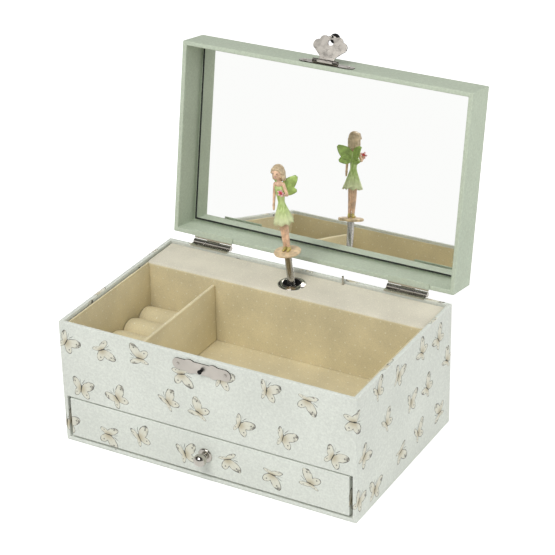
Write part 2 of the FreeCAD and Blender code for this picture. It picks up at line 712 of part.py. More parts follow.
keep("hasp_leaf", lean_hasp(cut(join(fan, tip, middle, *lobes), stud_eye, shank_eye, pin_eye)))
ball_z = "(hasp_knuckle + hasp_ball + side_gap)"
pull_ball = ball("pull_ball", "0", f"-{shank_out}", ball_z, "hasp_ball")
pull_shank = rod("pull_shank", "z", (leaf_z[0], ball_z), ("0", f"-{shank_out}"), "hasp_shank")
keep("hasp_knob", lean_hasp(join(pull_ball, pull_shank)))

# Drawer: an inset front, two sides, a back, and a floor with its velour.
DRAWER_X = f"({INNER_X} - drawer_gap)"
DRAWER_IN = f"({DRAWER_X} - drawer_side)"
DRAWER_LOW = "(board + drawer_lift)"
DRAWER_TOP = f"({OPENING_TOP} - drawer_gap)"
DRAWER_BACK = f"({INNER_BACK} - drawer_clear)"
FRONT_BACK = f"({FRONT} + drawer_front)"
knob_spot = ("0", f"(({DRAWER_LOW} + {DRAWER_TOP}) / 2)")
front_y = (FRONT, FRONT_BACK)
side_z = (DRAWER_LOW, f"{DRAWER_TOP} - drawer_drop")
floor_y = (FRONT_BACK, f"{DRAWER_BACK} - drawer_side")
floor_top = f"({DRAWER_LOW} + drawer_floor)"
face_panel = box("face_panel", about("0", DRAWER_X), front_y, (DRAWER_LOW, DRAWER_TOP))
keep("drawer_front", cut(face_panel, rod("knob_hole", "y", front_y, knob_spot, "knob_screw + fitted")))
left_wall = box("drawer_left", (f"-{DRAWER_X}", f"-{DRAWER_IN}"), (FRONT_BACK, DRAWER_BACK), side_z)
right_wall = box("drawer_right", (DRAWER_IN, DRAWER_X), (FRONT_BACK, DRAWER_BACK), side_z)
keep("drawer_sides", group(left_wall, right_wall))
keep("drawer_back", box("drawer_rear", about("0", DRAWER_IN), (floor_y[1], DRAWER_BACK), side_z))
keep("drawer_bottom", box("drawer_floor", about("0", DRAWER_IN), floor_y, (DRAWER_LOW, floor_top)))
velour_z = (floor_top, f"{floor_top} + drawer_pad")
keep("drawer_lining", box("drawer_velour", about("0", DRAWER_IN), floor_y, velour_z))

# Drawer knob: a ball on a neck, over a rose, held by a screw from inside.
knob_face = f"({FRONT} - rose_height)"
ball_y = f"({knob_face} - knob_ball - knob_gap)"
bite_y = f"({knob_face} - knob_bite)"
rose_front = -size("case_depth") / 2 - size("rose_height")
rose = rounded(rod("rose", "y", (knob_face, FRONT), knob_spot, "rose_radius"), size("rose_round"),
               lambda edge: edge.YMax < rose_front + NEAR)
rose_hole = rod("rose_hole", "y", (knob_face, FRONT), knob_spot, "knob_screw + fitted")
keep("drawer_knob_rose", cut(rose, rose_hole))
knob_head = ball("knob_head", "0", ball_y, knob_spot[1], "knob_ball")
knob_stem = rod("knob_stem", "y", (ball_y, knob_face), knob_spot, "knob_neck")
knob_socket = rod("knob_socket", "y", (bite_y, knob_face), knob_spot, "knob_screw + fitted")
keep("drawer_knob", cut(join(knob_head, knob_stem), knob_socket))
screw_shank = rod("knob_shank", "y", (bite_y, FRONT_BACK), knob_spot, "knob_screw")
screw_cap = rod("knob_cap", "y", (FRONT_BACK, f"{FRONT_BACK} + knob_screw_cap"), knob_spot, "knob_screw_head")
keep("knob_screw", join(screw_shank, screw_cap))


# Movement wheels: bar teeth on a spur or pinion, and round pegs on a crown wheel.
def spur(name, span, centre, teeth, radius, offset):
    """A wheel on an X axis, with its first tooth turned from straight up by an offset."""
    y, z = centre
    parts = [rod(f"{name}_disc", "x", span, centre, f"{radius} - {TOOTH_ROOT}")]
    for n in range(teeth):
        angle = offset + FULL_TURN * n / teeth
        bar = doc.addObject("Part::Box", f"{name}_tooth_{n}")
        bind(bar, "Length", f"({span[1]}) - ({span[0]})")
        bind(bar, "Width", "tooth")
        bind(bar, "Height", f"{radius} + tooth_reach")
        turn(bar, X_AXIS, f"{angle}")
        place(bar, span[0], f"{y} - tooth / 2 * cos({angle})", f"{z} - tooth / 2 * sin({angle})")
        parts.append(bar)
    return parts


def pegs(name, axis, span, centre, count, radius):
    """Pegs round a circle, the first one towards +X."""
    angles = [FULL_TURN * n / count for n in range(count)]
    spots = [(f"{centre[0]} + {radius} * cos({angle})", f"{centre[1]} + {radius} * sin({angle})")
             for angle in angles]
    return rods(name, axis, span, spots, "peg_radius")


# Pinned drum with the spur that drives the spindle and the brake, and the pinion that the main wheel drives.
drum_line = (SPINDLE_Y, AXIS_Z)
spur_x = about(CROWN, "wheel_width / 2")
pinion_x = about(PINION_X, "wheel_width / 2")
note_pitch = f"((drum_left + drum_right) / {COMB_TEETH})"
drum = rod("drum", "x", ("-drum_left", "drum_right"), drum_line, DRUM)
drum_rod = rod("drum_rod", "x", (pinion_x[0], f"{RIGHT_POST} + bearing + shaft_end"), drum_line, "drum_shaft")
drum_pins = []
for n in range(DRUM_PINS):
    note = n * NOTE_STEP % COMB_TEETH + 0.5
    pin = doc.addObject("Part::Cylinder", f"drum_pin_{n}")
    bind(pin, "Radius", "drum_pin")
    bind(pin, "Height", f"{DRUM} + pin_proud")
    turn(pin, X_AXIS, f"{PIN_STEP * n}")
    drum_pins.append(place(pin, f"{note_pitch} * {note} - drum_left", SPINDLE_Y, AXIS_Z))
drum_spur = spur("drum_spur", spur_x, drum_line, SPUR_TEETH, SPUR, FULL_TURN / SPUR_TEETH / 2)
drum_pinion = spur("drum_pinion", pinion_x, drum_line, PINION_TEETH, PINION, FULL_TURN / PINION_TEETH / 2)
keep("pinned_cylinder", join(drum, drum_rod, *drum_pins, *drum_spur, *drum_pinion))

# Spindle: a crown wheel over the drum's spur, and the seat and peg that carry the spring post.
SEAT = "(spring_radius + spring_wire / 2 + seat_lip)"
STEM = "(spring_radius - spring_wire / 2 - stem_gap)"
crown_disc = rod("crown_disc", "z", (CROWN_LOW, CROWN_TOP), spindle_spot, f"{CROWN} + wheel_rim")
crown_peg_z = (f"{CROWN_LOW} - {PEG_LENGTH}", CROWN_TOP)
crown_pegs = pegs("crown_peg", "z", crown_peg_z, spindle_spot, CROWN_PEGS, CROWN)
spindle_rod = rod("spindle_rod", "z", (CROWN_LOW, SEAT_TOP), spindle_spot, "spindle_radius")
spindle_seat = rod("spindle_seat", "z", (f"{SEAT_TOP} - seat_height", SEAT_TOP), spindle_spot, SEAT)
spindle_peg = rod("spindle_peg", "z", (SEAT_TOP, f"{SEAT_TOP} + stem_length"), spindle_spot, STEM)
keep("dancer_spindle", join(crown_disc, spindle_rod, spindle_seat, spindle_peg, *crown_pegs))

# Winding arbor with the main wheel, and the key on its end behind the case.
main_spot = (MAIN_X, AXIS_Z)
key_face = f"({BACK} + key_gap)"
arbor_end = f"({key_face} + key_length / 2)"
loop_y = f"({key_face} + key_length - key_loop)"
loop_z = about(AXIS_Z, "key_sheet / 2")
main_disc = rod("main_disc", "y", (MAIN_FACE, MAIN_BACK), main_spot, f"{MAIN} + wheel_rim")
main_pegs = pegs("main_peg", "y", (f"{MAIN_FACE} - {PEG_LENGTH}", MAIN_BACK), main_spot, MAIN_PEGS, MAIN)
arbor = rod("arbor", "y", (MAIN_FACE, arbor_end), main_spot, "arbor_radius")
keep("main_wheel", join(main_disc, arbor, *main_pegs))
boss = rod("key_boss", "y", (key_face, loop_y), main_spot, "key_boss")
loop_spots = [(f"{MAIN_X} + {side} * key_loop", loop_y) for side in SIDES]
loops = rods("key_loop", "z", loop_z, loop_spots, "key_loop")
eye_spots = [(f"{MAIN_X} + {side} * (key_loop + key_sheet / 2)", loop_y) for side in SIDES]
eyes = rods("key_eye", "z", loop_z, eye_spots, "key_eye")
key_socket = rod("key_socket", "y", (key_face, arbor_end), main_spot, "arbor_radius + fitted")
keep("winding_key", cut(join(boss, *loops), key_socket, *eyes))

# Spring barrel round the arbor, with the mainspring as a plain ring in place of its wound coils.
barrel_radius = f"({MAIN} - barrel_in)"
coil_radius = f"({barrel_radius} - barrel_wall)"
coil_y = (f"({BARREL_FACE} + barrel_wall)", PLATE_FACE)
barrel_y = (BARREL_FACE, PLATE_FACE)
barrel_shell = rod("barrel_shell", "y", barrel_y, main_spot, barrel_radius)
barrel_room = rod("barrel_room", "y", coil_y, main_spot, coil_radius)
barrel_hole = rod("barrel_hole", "y", barrel_y, main_spot, "arbor_radius + running")
keep("spring_barrel", cut(barrel_shell, barrel_room, barrel_hole))
coils = rod("coils", "y", coil_y, main_spot, coil_radius)
keep("mainspring", cut(coils, rod("coil_eye", "y", coil_y, main_spot, "spring_eye")))

# Air brake: a fly on a pinion below the drum's spur.
fly_line = (SPINDLE_Y, FLY_Z)
fly_rod = rod("fly_rod", "x", (spur_x[0], f"{FAR_POST} + bearing"), fly_line, "fly_shaft")
fly_sheet = box("fly_sheet", (FLY_LEFT, f"{FLY_LEFT} + fly_width"), about(SPINDLE_Y, "fly_radius"),
                about(FLY_Z, "fly_blade / 2"))
keep("air_brake", join(fly_rod, fly_sheet, *spur("fly_pinion", spur_x, fly_line, PINION_TEETH, PINION, 0)))

# Tone comb: a sheet slotted into teeth, screwed to the bedplate's heel.
comb_y = (COMB_FACE, COMB_BACK)
comb_x = ("-drum_left", "drum_right")
comb_sheet = box("comb_sheet", comb_x, comb_y, (COMB_LOW, COMB_TOP))
comb_slots = [box(f"comb_slot_{n}", about(f"{note_pitch} * {n} - drum_left", "comb_slot / 2"), comb_y,
                  (f"{COMB_LOW} + comb_heel", COMB_TOP)) for n in range(1, COMB_TEETH)]
comb_bores = rods("comb_bore", "y", comb_y, comb_spots, "movement_screw + fitted")
keep("tone_comb", cut(comb_sheet, *comb_slots, *comb_bores))

# Bedplate on the back board, with bearing posts, the spindle's arm and the comb's heel.
bed_y = (PLATE_FACE, INNER_BACK)
post_y = (f"{SPINDLE_Y} - bearing", PLATE_FACE)
bed_parts = [
    box("bed", (BED_LEFT, BED_RIGHT), bed_y, (BED_LOW, BED_TOP)),
    box("bed_wing", (BED_RIGHT, f"{FAR_POST} + bearing"), bed_y, about(FLY_Z, PINION)),
    box("comb_block", comb_x, (COMB_BACK, PLATE_FACE), (COMB_LOW, f"{COMB_LOW} + comb_heel")),
    box("left_post", (LEFT_POST, f"{LEFT_POST} + bearing"), post_y, about(AXIS_Z, "bearing")),
    box("right_post", (RIGHT_POST, f"{RIGHT_POST} + bearing"), post_y,
        (f"{FLY_Z} - bearing", f"{AXIS_Z} + bearing")),
    box("far_post", (FAR_POST, f"{FAR_POST} + bearing"), post_y, about(FLY_Z, "bearing")),
    box("spindle_arm", about("0", "arm_half"), (f"{SPINDLE_Y} - arm_half", PLATE_FACE),
        (f"{ARM_TOP} - arm", ARM_TOP)),
]
bed_bores = [
    rod("drum_bore", "x", (LEFT_POST, f"{RIGHT_POST} + bearing"), drum_line, "drum_shaft + running"),
    rod("fly_bore", "x", (RIGHT_POST, f"{FAR_POST} + bearing"), fly_line, "fly_shaft + running"),
    rod("arm_bore", "z", (f"{ARM_TOP} - arm", ARM_TOP), spindle_spot, "spindle_radius + running"),
    rod("arbor_bore", "y", bed_y, main_spot, "arbor_radius + running"),
]
bed_bores += rods("bed_bore", "y", bed_y, bed_spots, "movement_screw + fitted")
bed_bores += rods("heel_bore", "y", (COMB_BACK, f"{COMB_BACK} + movement_bite"), comb_spots,
                  "movement_screw + fitted")
keep("movement_bedplate", cut(join(*bed_parts), *bed_bores))
bed_screws = fixings("bed_screw", "y", (f"{PLATE_FACE} - movement_cap", PLATE_FACE),
                     (PLATE_FACE, f"{INNER_BACK} + movement_bite"), bed_spots,
                     "movement_head", "movement_screw")
comb_screws = fixings("comb_screw", "y", (f"{COMB_FACE} - movement_cap", COMB_FACE),
                      (COMB_FACE, f"{COMB_BACK} + movement_bite"), comb_spots,
                      "movement_head", "movement_screw")
keep("movement_screws", group(bed_screws, comb_screws))

# Stop pin: the shut lid's back rail holds it down, and its foot then stands in the fly's way.
foot_low = f"({FLY_Z} + fly_radius + stop_clear + stop_travel)"
stop_top = f"({LID_LOW} + stop_travel - stop_lid_gap)"
stop_rod = rod("stop_rod", "z", (foot_low, stop_top), ("stop_x", STOP_Y), "stop_pin")
stop_foot = box("stop_foot", about("stop_x", "stop_pin"), (SPINDLE_Y, STOP_Y),
                (foot_low, f"{foot_low} + stop_pin * 2"))
keep("stop_pin", join(stop_rod, stop_foot))

# Spring post: one open coil that leans with the figure.
doc.recompute()
wire = size("spring_wire")
coil_length = size("cover") + size("spring_seat") + size("spring_rise") - wire
coil_steps = round(coil_length / (wire + size("spring_gap")) * QUARTERS)
coil_rise = coil_length / coil_steps


def coil_knot(step):
    """A point of the coil and its direction there, counted in quarter turns."""
    angle = math.tau * step / QUARTERS
    radius = size("spring_radius")
    point = FreeCAD.Vector(radius * math.cos(angle), radius * math.sin(angle), coil_rise * step)
    climb = coil_rise * QUARTERS / math.tau
    slope = FreeCAD.Vector(-radius * math.sin(angle), radius * math.cos(angle), climb)
    return point, slope.normalize()


def tangent_arc(start, corner, end):
    """The arc that touches both sides of a corner with equal legs."""
    middle = (start + end) * 0.5
    half_angle = (corner - start).getAngle(end - start)
    sag = math.tan(half_angle / 2) / math.tan(half_angle)
    return Part.Arc(start, middle + (corner - middle) * sag, end)


def biarc(first, second):
    """Two tangent arcs between two knots."""
    (start, out), (end, into) = first, second
    across = end - start
    along = across.dot(out + into)
    bend = 2 * (1 - out.dot(into))
    reach = (math.sqrt(along ** 2 + bend * across.dot(across)) - along) / bend
    near = start + out * reach
    far = end - into * reach
    knot = (near + far) * 0.5
    return [tangent_arc(start, near, knot), tangent_arc(knot, far, end)]


knots = [coil_knot(step) for step in range(coil_steps + 1)]
arcs = [arc for first, second in zip(knots, knots[1:]) for arc in biarc(first, second)]
path = Part.Wire([arc.toShape() for arc in arcs])
points = path.discretize(Number=len(arcs) * 2 + 1)
half_turn = QUARTERS * 2
least = min((q - p).Length for n, p in enumerate(points) for q in points[n + half_turn:n + half_turn * 4])
print(f"spring: least gap to itself {least - wire:.3f} mm over {coil_steps / QUARTERS:.2f} turns")
tube = Part.BRepOffsetAPI.MakePipeShell(path)
tube.add(Part.Wire([Part.Circle(knots[0][0], knots[0][1], wire / 2).toShape()]))
tube.build()
tube.makeSolid()
spring = doc.addObject("Part::Feature", "coil")
spring.Shape = tube.shape()
seat_box = spindle_seat.Shape.BoundBox
lean = FreeCAD.Rotation(Y_AXIS, -size("figure_lean"))
coil_start = lean.multVec(FreeCAD.Vector(0, 0, wire / 2))
spring.Placement = FreeCAD.Placement(FreeCAD.Vector(0, seat_box.Center.y, seat_box.ZMax) + coil_start, lean)
keep("dancer_spring", spring)


# Figure on its disc, described upright over the spring's foot and then leaned with the spring.
def stand(shape):
    return place(turn(shape, Y_AXIS, "-figure_lean"), "0", SPINDLE_Y, SEAT_TOP)


DISC_LOW = "(cover + spring_seat + spring_rise)"
DISC_TOP = f"({DISC_LOW} + disc_height)"
disc = rod("figure_disc", "z", (DISC_LOW, DISC_TOP), ("0", "0"), "disc_radius")
stem = rod("figure_stem", "z", (f"{DISC_LOW} - stem_length", DISC_LOW), ("0", "0"), STEM)
keep("figurine_base", stand(join(disc, stem)))


def level(height):
    """A height above the disc that the figure stands on."""
    return f"({DISC_TOP} + {height})"


# Wings: an upper and a lower lobe on each side of a bar at the back, swept backwards.
WING_OUTLINE = ((0, 0.3), (0.3, 0.02), (0.66, 0), (0.74, 0.2), (0.55, 0.42),
                (0.86, 0.62), (1, 0.96), (0.86, 1), (0.3, 0.72), (0, 0.5))
wing_low = level("waist_height + arm_radius")
wing_points = [(f"wing_span * {across}", f"wing_height * {up}") for across, up in WING_OUTLINE]
wing_parts = [box("wing_bar", about("0", "wing_root / 2"), about("wing_root", "wing_sheet"),
                  (wing_low, f"{wing_low} + wing_height / 2"))]
for n, side in enumerate(SIDES):
    wing = outline_plate(f"wing_{n}", wing_points, "wing_sheet")
    heading = FULL_TURN / 4 - side * (FULL_TURN / 4 - size("wing_sweep"))
    upright = FreeCAD.Rotation(Z_AXIS, heading).multiply(FreeCAD.Rotation(X_AXIS, FULL_TURN / 4))
    wing.Placement = FreeCAD.Placement(FreeCAD.Vector(), upright)
    wing_parts.append(place(wing, f"{side} * wing_root / 4", "wing_root", wing_low))
wings = join(*wing_parts)
keep("figurine_wings", stand(group(wings)))

# Figure: legs, skirt, bodice, head, one arm down and one raised to hold a flower.
zero = ("0", "0")
legs = [rod(f"leg_{n}", "z", (DISC_TOP, level("hem_height + leg_radius")), (f"{side} * leg_apart", "0"),
            "ankle_radius", "leg_radius") for n, side in enumerate(SIDES)]
skirt = rod("skirt", "z", (level("hem_height"), level("waist_height")), zero, "hem_radius", "waist_radius")
bodice = rod("bodice", "z", (level("waist_height"), level("shoulder_height")), zero,
             "waist_radius", "shoulder_radius")
head_z = level("figure_height - head_radius")
neck_rod = rod("neck", "z", (level("waist_height"), head_z), zero, "neck_radius")
head = ball("head", "0", "0", head_z, "head_radius")
yoke = rod("yoke", "x", about("0", "arm_out"), ("0", level("shoulder_height - arm_radius")), "arm_radius")
low_arm = rod("low_arm", "z", (level("hand_height"), level("shoulder_height")), ("-arm_out", "0"),
              "arm_radius")
high_arm = rod("high_arm", "z", (level("flower_height"), level("shoulder_height")), ("arm_out", "0"),
               "arm_radius")
fore_arm = rod("fore_arm", "y", ("-flower_out", "0"), ("arm_out", level("flower_height")), "arm_radius")
flower = ball("flower", "arm_out", "-flower_out", level("flower_height"), "flower_radius")
figure = join(*legs, skirt, bodice, neck_rod, head, yoke, low_arm, high_arm, fore_arm, flower)
keep("figurine", stand(cut(figure, wings)))

doc.recompute()
for shape in doc.Objects:
    if "Invalid" in shape.State or "Error" in shape.State:
        raise RuntimeError(f"{shape.Label} failed: {shape.State}")
for piece in PIECES:
    if piece.Shape.isNull() or not piece.Shape.isValid():
        raise RuntimeError(f"{piece.Label} has no valid shape")

os.makedirs("parts", exist_ok=True)
for piece in PIECES:
    piece.Shape.exportStep(f"parts/{piece.Label}.step")
print(f"{len(PIECES)} pieces written")
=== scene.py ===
"""The look of a papered jewellery box with a mirror in its lid and a winged figure on a spring post."""

import math

import bmesh
import bpy
from mathutils import Matrix, Vector


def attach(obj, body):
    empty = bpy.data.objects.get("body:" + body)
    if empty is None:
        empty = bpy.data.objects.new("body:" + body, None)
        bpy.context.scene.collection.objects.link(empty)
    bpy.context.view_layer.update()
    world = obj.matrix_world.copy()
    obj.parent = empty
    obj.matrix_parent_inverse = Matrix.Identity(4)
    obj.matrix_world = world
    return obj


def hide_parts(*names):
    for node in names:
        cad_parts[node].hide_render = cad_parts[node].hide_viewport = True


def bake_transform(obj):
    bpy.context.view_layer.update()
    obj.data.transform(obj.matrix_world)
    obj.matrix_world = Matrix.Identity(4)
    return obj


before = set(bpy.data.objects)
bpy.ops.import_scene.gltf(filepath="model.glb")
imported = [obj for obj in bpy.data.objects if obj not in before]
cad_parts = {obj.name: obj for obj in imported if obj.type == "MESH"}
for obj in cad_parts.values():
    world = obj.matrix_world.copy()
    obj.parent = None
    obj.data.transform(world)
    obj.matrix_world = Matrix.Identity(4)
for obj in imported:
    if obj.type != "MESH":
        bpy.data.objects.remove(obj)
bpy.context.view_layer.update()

# Case: five boards glued up as a box and wrapped in one sheet of printed paper.
# The paper is pale mint with a fine emboss and a scatter of small butterflies, and it turns
# over every edge, so no board joint shows. The tray sits in a recess, the drawer in a pocket.
MM = 0.001
CASE_LOW = (-110, -69.75, 0)
CASE_HIGH = (110, 69.75, 91)
CASE_BOARD = 4
TRAY_DEPTH = 53.5
POCKET_TOP = 34.5
POCKET_DEPTH = 135.5
KEY_X = -32
KEY_Z = 70.3
KEY_HOLE = 3.2
PRINT_PITCH = 31
MINT = (0.755, 0.785, 0.715, 1)
WING_PALE = (0.74, 0.70, 0.56, 1)
WING_DEEP = (0.47, 0.40, 0.25, 1)
INK = (0.04, 0.038, 0.032, 1)


def node(tree, kind, inputs=(), **settings):
    """Adds a node with its settings and its inputs, which are values or other nodes' outputs."""
    made = tree.nodes.new(kind)
    for key, value in settings.items():
        setattr(made, key, value)
    for socket, value in dict(inputs).items():
        if isinstance(value, bpy.types.NodeSocket):
            tree.links.new(value, made.inputs[socket])
        else:
            made.inputs[socket].default_value = value
    return made


def calc(tree, operation, *values):
    """One sum on values or outputs."""
    return node(tree, "ShaderNodeMath", enumerate(values), operation=operation).outputs[0]


def blended(tree, share, first, second):
    """One colour over another by a share."""
    mixed = node(tree, "ShaderNodeMix", {0: share, 6: first, 7: second}, data_type="RGBA")
    return mixed.outputs[2]


def ramp(tree, value, low, high, start=0.0, end=1.0):
    """A smooth step of a value between two limits."""
    inputs = {"Value": value, "From Min": low, "From Max": high, "To Min": start, "To Max": end}
    return node(tree, "ShaderNodeMapRange", inputs, interpolation_type="SMOOTHSTEP").outputs[0]


def cells(tree, vector, pitch):
    """Divides a flat sheet into staggered cells: the place within a cell, and the cell's own number."""
    scaled = node(tree, "ShaderNodeVectorMath", {0: vector, "Scale": 1 / (pitch * MM)}, operation="SCALE")
    flat = node(tree, "ShaderNodeSeparateXYZ", {0: scaled.outputs[0]})
    row = calc(tree, "FLOOR", flat.outputs[1])
    stagger = calc(tree, "MULTIPLY", calc(tree, "PINGPONG", row, 1.0), 0.5)
    shifted = calc(tree, "ADD", flat.outputs[0], stagger)
    column = calc(tree, "FLOOR", shifted)
    across = calc(tree, "SUBTRACT", calc(tree, "SUBTRACT", shifted, column), 0.5)
    up = calc(tree, "SUBTRACT", calc(tree, "SUBTRACT", flat.outputs[1], row), 0.5)
    place = node(tree, "ShaderNodeCombineXYZ", {0: across, 1: up}).outputs[0]
    number = node(tree, "ShaderNodeCombineXYZ", {0: column, 1: row}).outputs[0]
    return place, number


def start_group(name, sockets):
    """An empty node group with named inputs and outputs."""
    group = bpy.data.node_groups.new(name, "ShaderNodeTree")
    for label, way, kind in sockets:
        group.interface.new_socket(label, in_out=way, socket_type=kind)
    return group, group.nodes.new("NodeGroupInput"), group.nodes.new("NodeGroupOutput")


def paper_grain():
    """The emboss of the covering paper: fine threads broken up by a soft mottle."""
    group, source, result = start_group("paper_grain", (
        ("Vector", "INPUT", "NodeSocketVector"), ("Tone", "OUTPUT", "NodeSocketFloat"),
        ("Height", "OUTPUT", "NodeSocketFloat")))
    spot = source.outputs[0]
    mottle = node(group, "ShaderNodeTexNoise", {"Vector": spot, "Scale": 520, "Detail": 4, "Roughness": 0.65})
    crumb = node(group, "ShaderNodeTexVoronoi", {"Vector": spot, "Scale": 900}, feature="SMOOTH_F1")
    cloud = node(group, "ShaderNodeTexNoise", {"Vector": spot, "Scale": 22, "Detail": 2})
    fine = calc(group, "MULTIPLY_ADD", crumb.outputs[0], 0.5, mottle.outputs[0])
    tone = calc(group, "MULTIPLY_ADD", cloud.outputs[0], 0.35, calc(group, "MULTIPLY", fine, 0.6))
    group.links.new(tone, result.inputs[0])
    group.links.new(fine, result.inputs[1])
    return group


def butterfly_print():
    """Small cream butterflies, each at its own tilt and turn in a staggered layout."""
    group, source, result = start_group("butterfly_print", (
        ("Vector", "INPUT", "NodeSocketVector"), ("Color", "OUTPUT", "NodeSocketColor"),
        ("Mask", "OUTPUT", "NodeSocketFloat")))
    place, number = cells(group, source.outputs[0], PRINT_PITCH)
    chance = node(group, "ShaderNodeTexWhiteNoise", {"Vector": number}, noise_dimensions="2D")
    draw = node(group, "ShaderNodeSeparateColor", {0: chance.outputs["Color"]})
    slide = node(group, "ShaderNodeCombineXYZ", {
        0: calc(group, "MULTIPLY_ADD", draw.outputs[1], 0.34, -0.17),
        1: calc(group, "MULTIPLY_ADD", draw.outputs[2], 0.34, -0.17)})
    moved = node(group, "ShaderNodeVectorMath", {0: place, 1: slide.outputs[0]}, operation="SUBTRACT")
    angle = calc(group, "MULTIPLY_ADD", draw.outputs[0], 3.4, -1.7)
    turned = node(group, "ShaderNodeVectorRotate", {"Vector": moved.outputs[0], "Angle": angle},
                  rotation_type="Z_AXIS")
    flat = node(group, "ShaderNodeSeparateXYZ", {0: turned.outputs[0]})
    narrow = calc(group, "MULTIPLY_ADD", draw.outputs[2], -1.6, -1.1)
    span = calc(group, "MAXIMUM", flat.outputs[0], calc(group, "MULTIPLY", flat.outputs[0], narrow))
    fore = node(group, "ShaderNodeCombineXYZ", {0: span, 1: flat.outputs[1]}).outputs[0]
    wobble = node(group, "ShaderNodeTexNoise", {"Vector": source.outputs[0], "Scale": 420, "Detail": 2})

    def lobe(centre, tilt, radii):
        """Distance from the middle of an oval, where one is its edge."""
        laid = node(group, "ShaderNodeMapping", {
            "Vector": fore, "Location": (*centre, 0), "Rotation": (0, 0, math.radians(tilt)),
            "Scale": (*radii, 1)}, vector_type="TEXTURE")
        return node(group, "ShaderNodeVectorMath", {0: laid.outputs[0]}, operation="LENGTH").outputs["Value"]

    upper = lobe((0.165, 0.1), 38, (0.2, 0.11))
    lower = lobe((0.11, -0.09), -48, (0.15, 0.09))
    trunk = lobe((0, 0), 0, (0.016, 0.12))
    feeler = lobe((0.045, 0.185), 62, (0.085, 0.008))
    wings = calc(group, "MINIMUM", upper, lower)
    edge = calc(group, "MULTIPLY_ADD", wobble.outputs[0], 0.3, calc(group, "SUBTRACT", wings, 0.15))
    inside = ramp(group, edge, 0.95, 1.0, 1.0, 0.0)
    broken = ramp(group, wobble.outputs[0], 0.32, 0.52, 0.4, 1.0)
    outline = calc(group, "MULTIPLY", ramp(group, edge, 0.83, 0.9), broken)
    reach = node(group, "ShaderNodeVectorMath", {0: fore}, operation="LENGTH").outputs["Value"]
    root = ramp(group, reach, 0.02, 0.2, 0.85, 0.0)
    tip = calc(group, "MULTIPLY", ramp(group, span, 0.2, 0.3), ramp(group, wobble.outputs[0], 0.4, 0.54))
    fan = calc(group, "SINE", calc(group, "MULTIPLY", calc(group, "ARCTAN2", flat.outputs[1], span), 15.0))
    vein = ramp(group, fan, 0.86, 1.0, 0.0, 0.5)
    spots = calc(group, "MINIMUM", lobe((0.235, 0.14), 0, (0.02, 0.02)),
                 lobe((0.15, -0.115), 0, (0.018, 0.018)))
    wing = blended(group, calc(group, "MAXIMUM", root, vein), WING_PALE, WING_DEEP)
    drawn = calc(group, "MAXIMUM", outline, calc(group, "MULTIPLY", tip, 0.85))
    drawn = calc(group, "MAXIMUM", drawn, ramp(group, spots, 0.8, 1.1, 0.85, 0.0))
    wing = blended(group, drawn, wing, INK)
    lines = calc(group, "MAXIMUM", ramp(group, trunk, 0.75, 1.0, 1.0, 0.0),
                 ramp(group, feeler, 0.7, 1.0, 0.8, 0.0))
    group.links.new(blended(group, lines, wing, INK), result.inputs[0])
    weight = calc(group, "MULTIPLY_ADD", calc(group, "MAXIMUM", drawn, root), 0.4, 0.55)
    strength = calc(group, "MULTIPLY", inside, weight)
    group.links.new(calc(group, "MAXIMUM", strength, lines), result.inputs[1])
    return group


def start_material(name, **values):
    """A material, its node tree and its shader, with plain values set on the shader's sockets."""
    material = bpy.data.materials.new(name)
    material.use_nodes = True
    tree = material.node_tree
    shader = tree.nodes["Principled BSDF"]
    for socket, value in values.items():
        shader.inputs[socket.replace("_", " ")].default_value = value
    return material, tree, shader


def emboss(tree, shader, height, strength, depth):
    """Raises a surface by a height."""
    bump = node(tree, "ShaderNodeBump", {"Height": height, "Strength": strength, "Distance": depth * MM})
    tree.links.new(bump.outputs[0], shader.inputs["Normal"])


PAPER_GRAIN = paper_grain()


def papered(name, colour, pattern=None):
    """Embossed paper of one colour, with a print where one is given."""
    material, tree, shader = start_material(name, Specular_IOR_Level=0.35)
    spot = node(tree, "ShaderNodeTexCoord")
    grain = node(tree, "ShaderNodeGroup", {}, node_tree=PAPER_GRAIN)
    tree.links.new(spot.outputs["Object"], grain.inputs[0])
    shaded = tuple(part * 0.86 for part in colour[:3]) + (1,)
    tone = ramp(tree, grain.outputs["Tone"], 0.35, 0.95)
    surface = blended(tree, tone, shaded, tuple(min(part * 1.08, 1) for part in colour[:3]) + (1,))
    if pattern:
        printed = node(tree, "ShaderNodeGroup", {}, node_tree=pattern)
        tree.links.new(spot.outputs["UV"], printed.inputs[0])
        surface = blended(tree, printed.outputs["Mask"], surface, printed.outputs["Color"])
    tree.links.new(surface, shader.inputs["Base Color"])
    rough = ramp(tree, grain.outputs["Height"], 0.3, 1.1, 0.72, 0.55)
    tree.links.new(rough, shader.inputs["Roughness"])
    emboss(tree, shader, grain.outputs["Height"], 0.35, 0.25)
    return material


def boarded():
    """Plain pale board with a fine grain along the case."""
    material, tree, shader = start_material("plain_board", Roughness=0.75)
    spot = node(tree, "ShaderNodeTexCoord")
    drawn = node(tree, "ShaderNodeMapping", {"Vector": spot.outputs["Object"], "Scale": (12, 160, 160)})
    grain = node(tree, "ShaderNodeTexNoise", {"Vector": drawn.outputs[0], "Scale": 4, "Detail": 5})
    share = ramp(tree, grain.outputs[0], 0.3, 0.7)
    colour = blended(tree, share, (0.42, 0.31, 0.19, 1), (0.58, 0.46, 0.31, 1))
    tree.links.new(colour, shader.inputs["Base Color"])
    emboss(tree, shader, grain.outputs[0], 0.2, 0.2)
    return material


def block(low, high):
    """A block between two corners in millimetres."""
    shape = bmesh.new()
    bmesh.ops.create_cube(shape, size=1)
    low, high = Vector(low) * MM, Vector(high) * MM
    bmesh.ops.scale(shape, vec=high - low, verts=shape.verts)
    bmesh.ops.translate(shape, vec=(low + high) / 2, verts=shape.verts)
    return shape


def facing(shape, direction):
    """The face that looks furthest along a direction."""
    shape.normal_update()
    way = Vector(direction)
    return max(shape.faces, key=lambda face: (round(face.normal.dot(way), 3),
                                              face.calc_center_median().dot(way)))


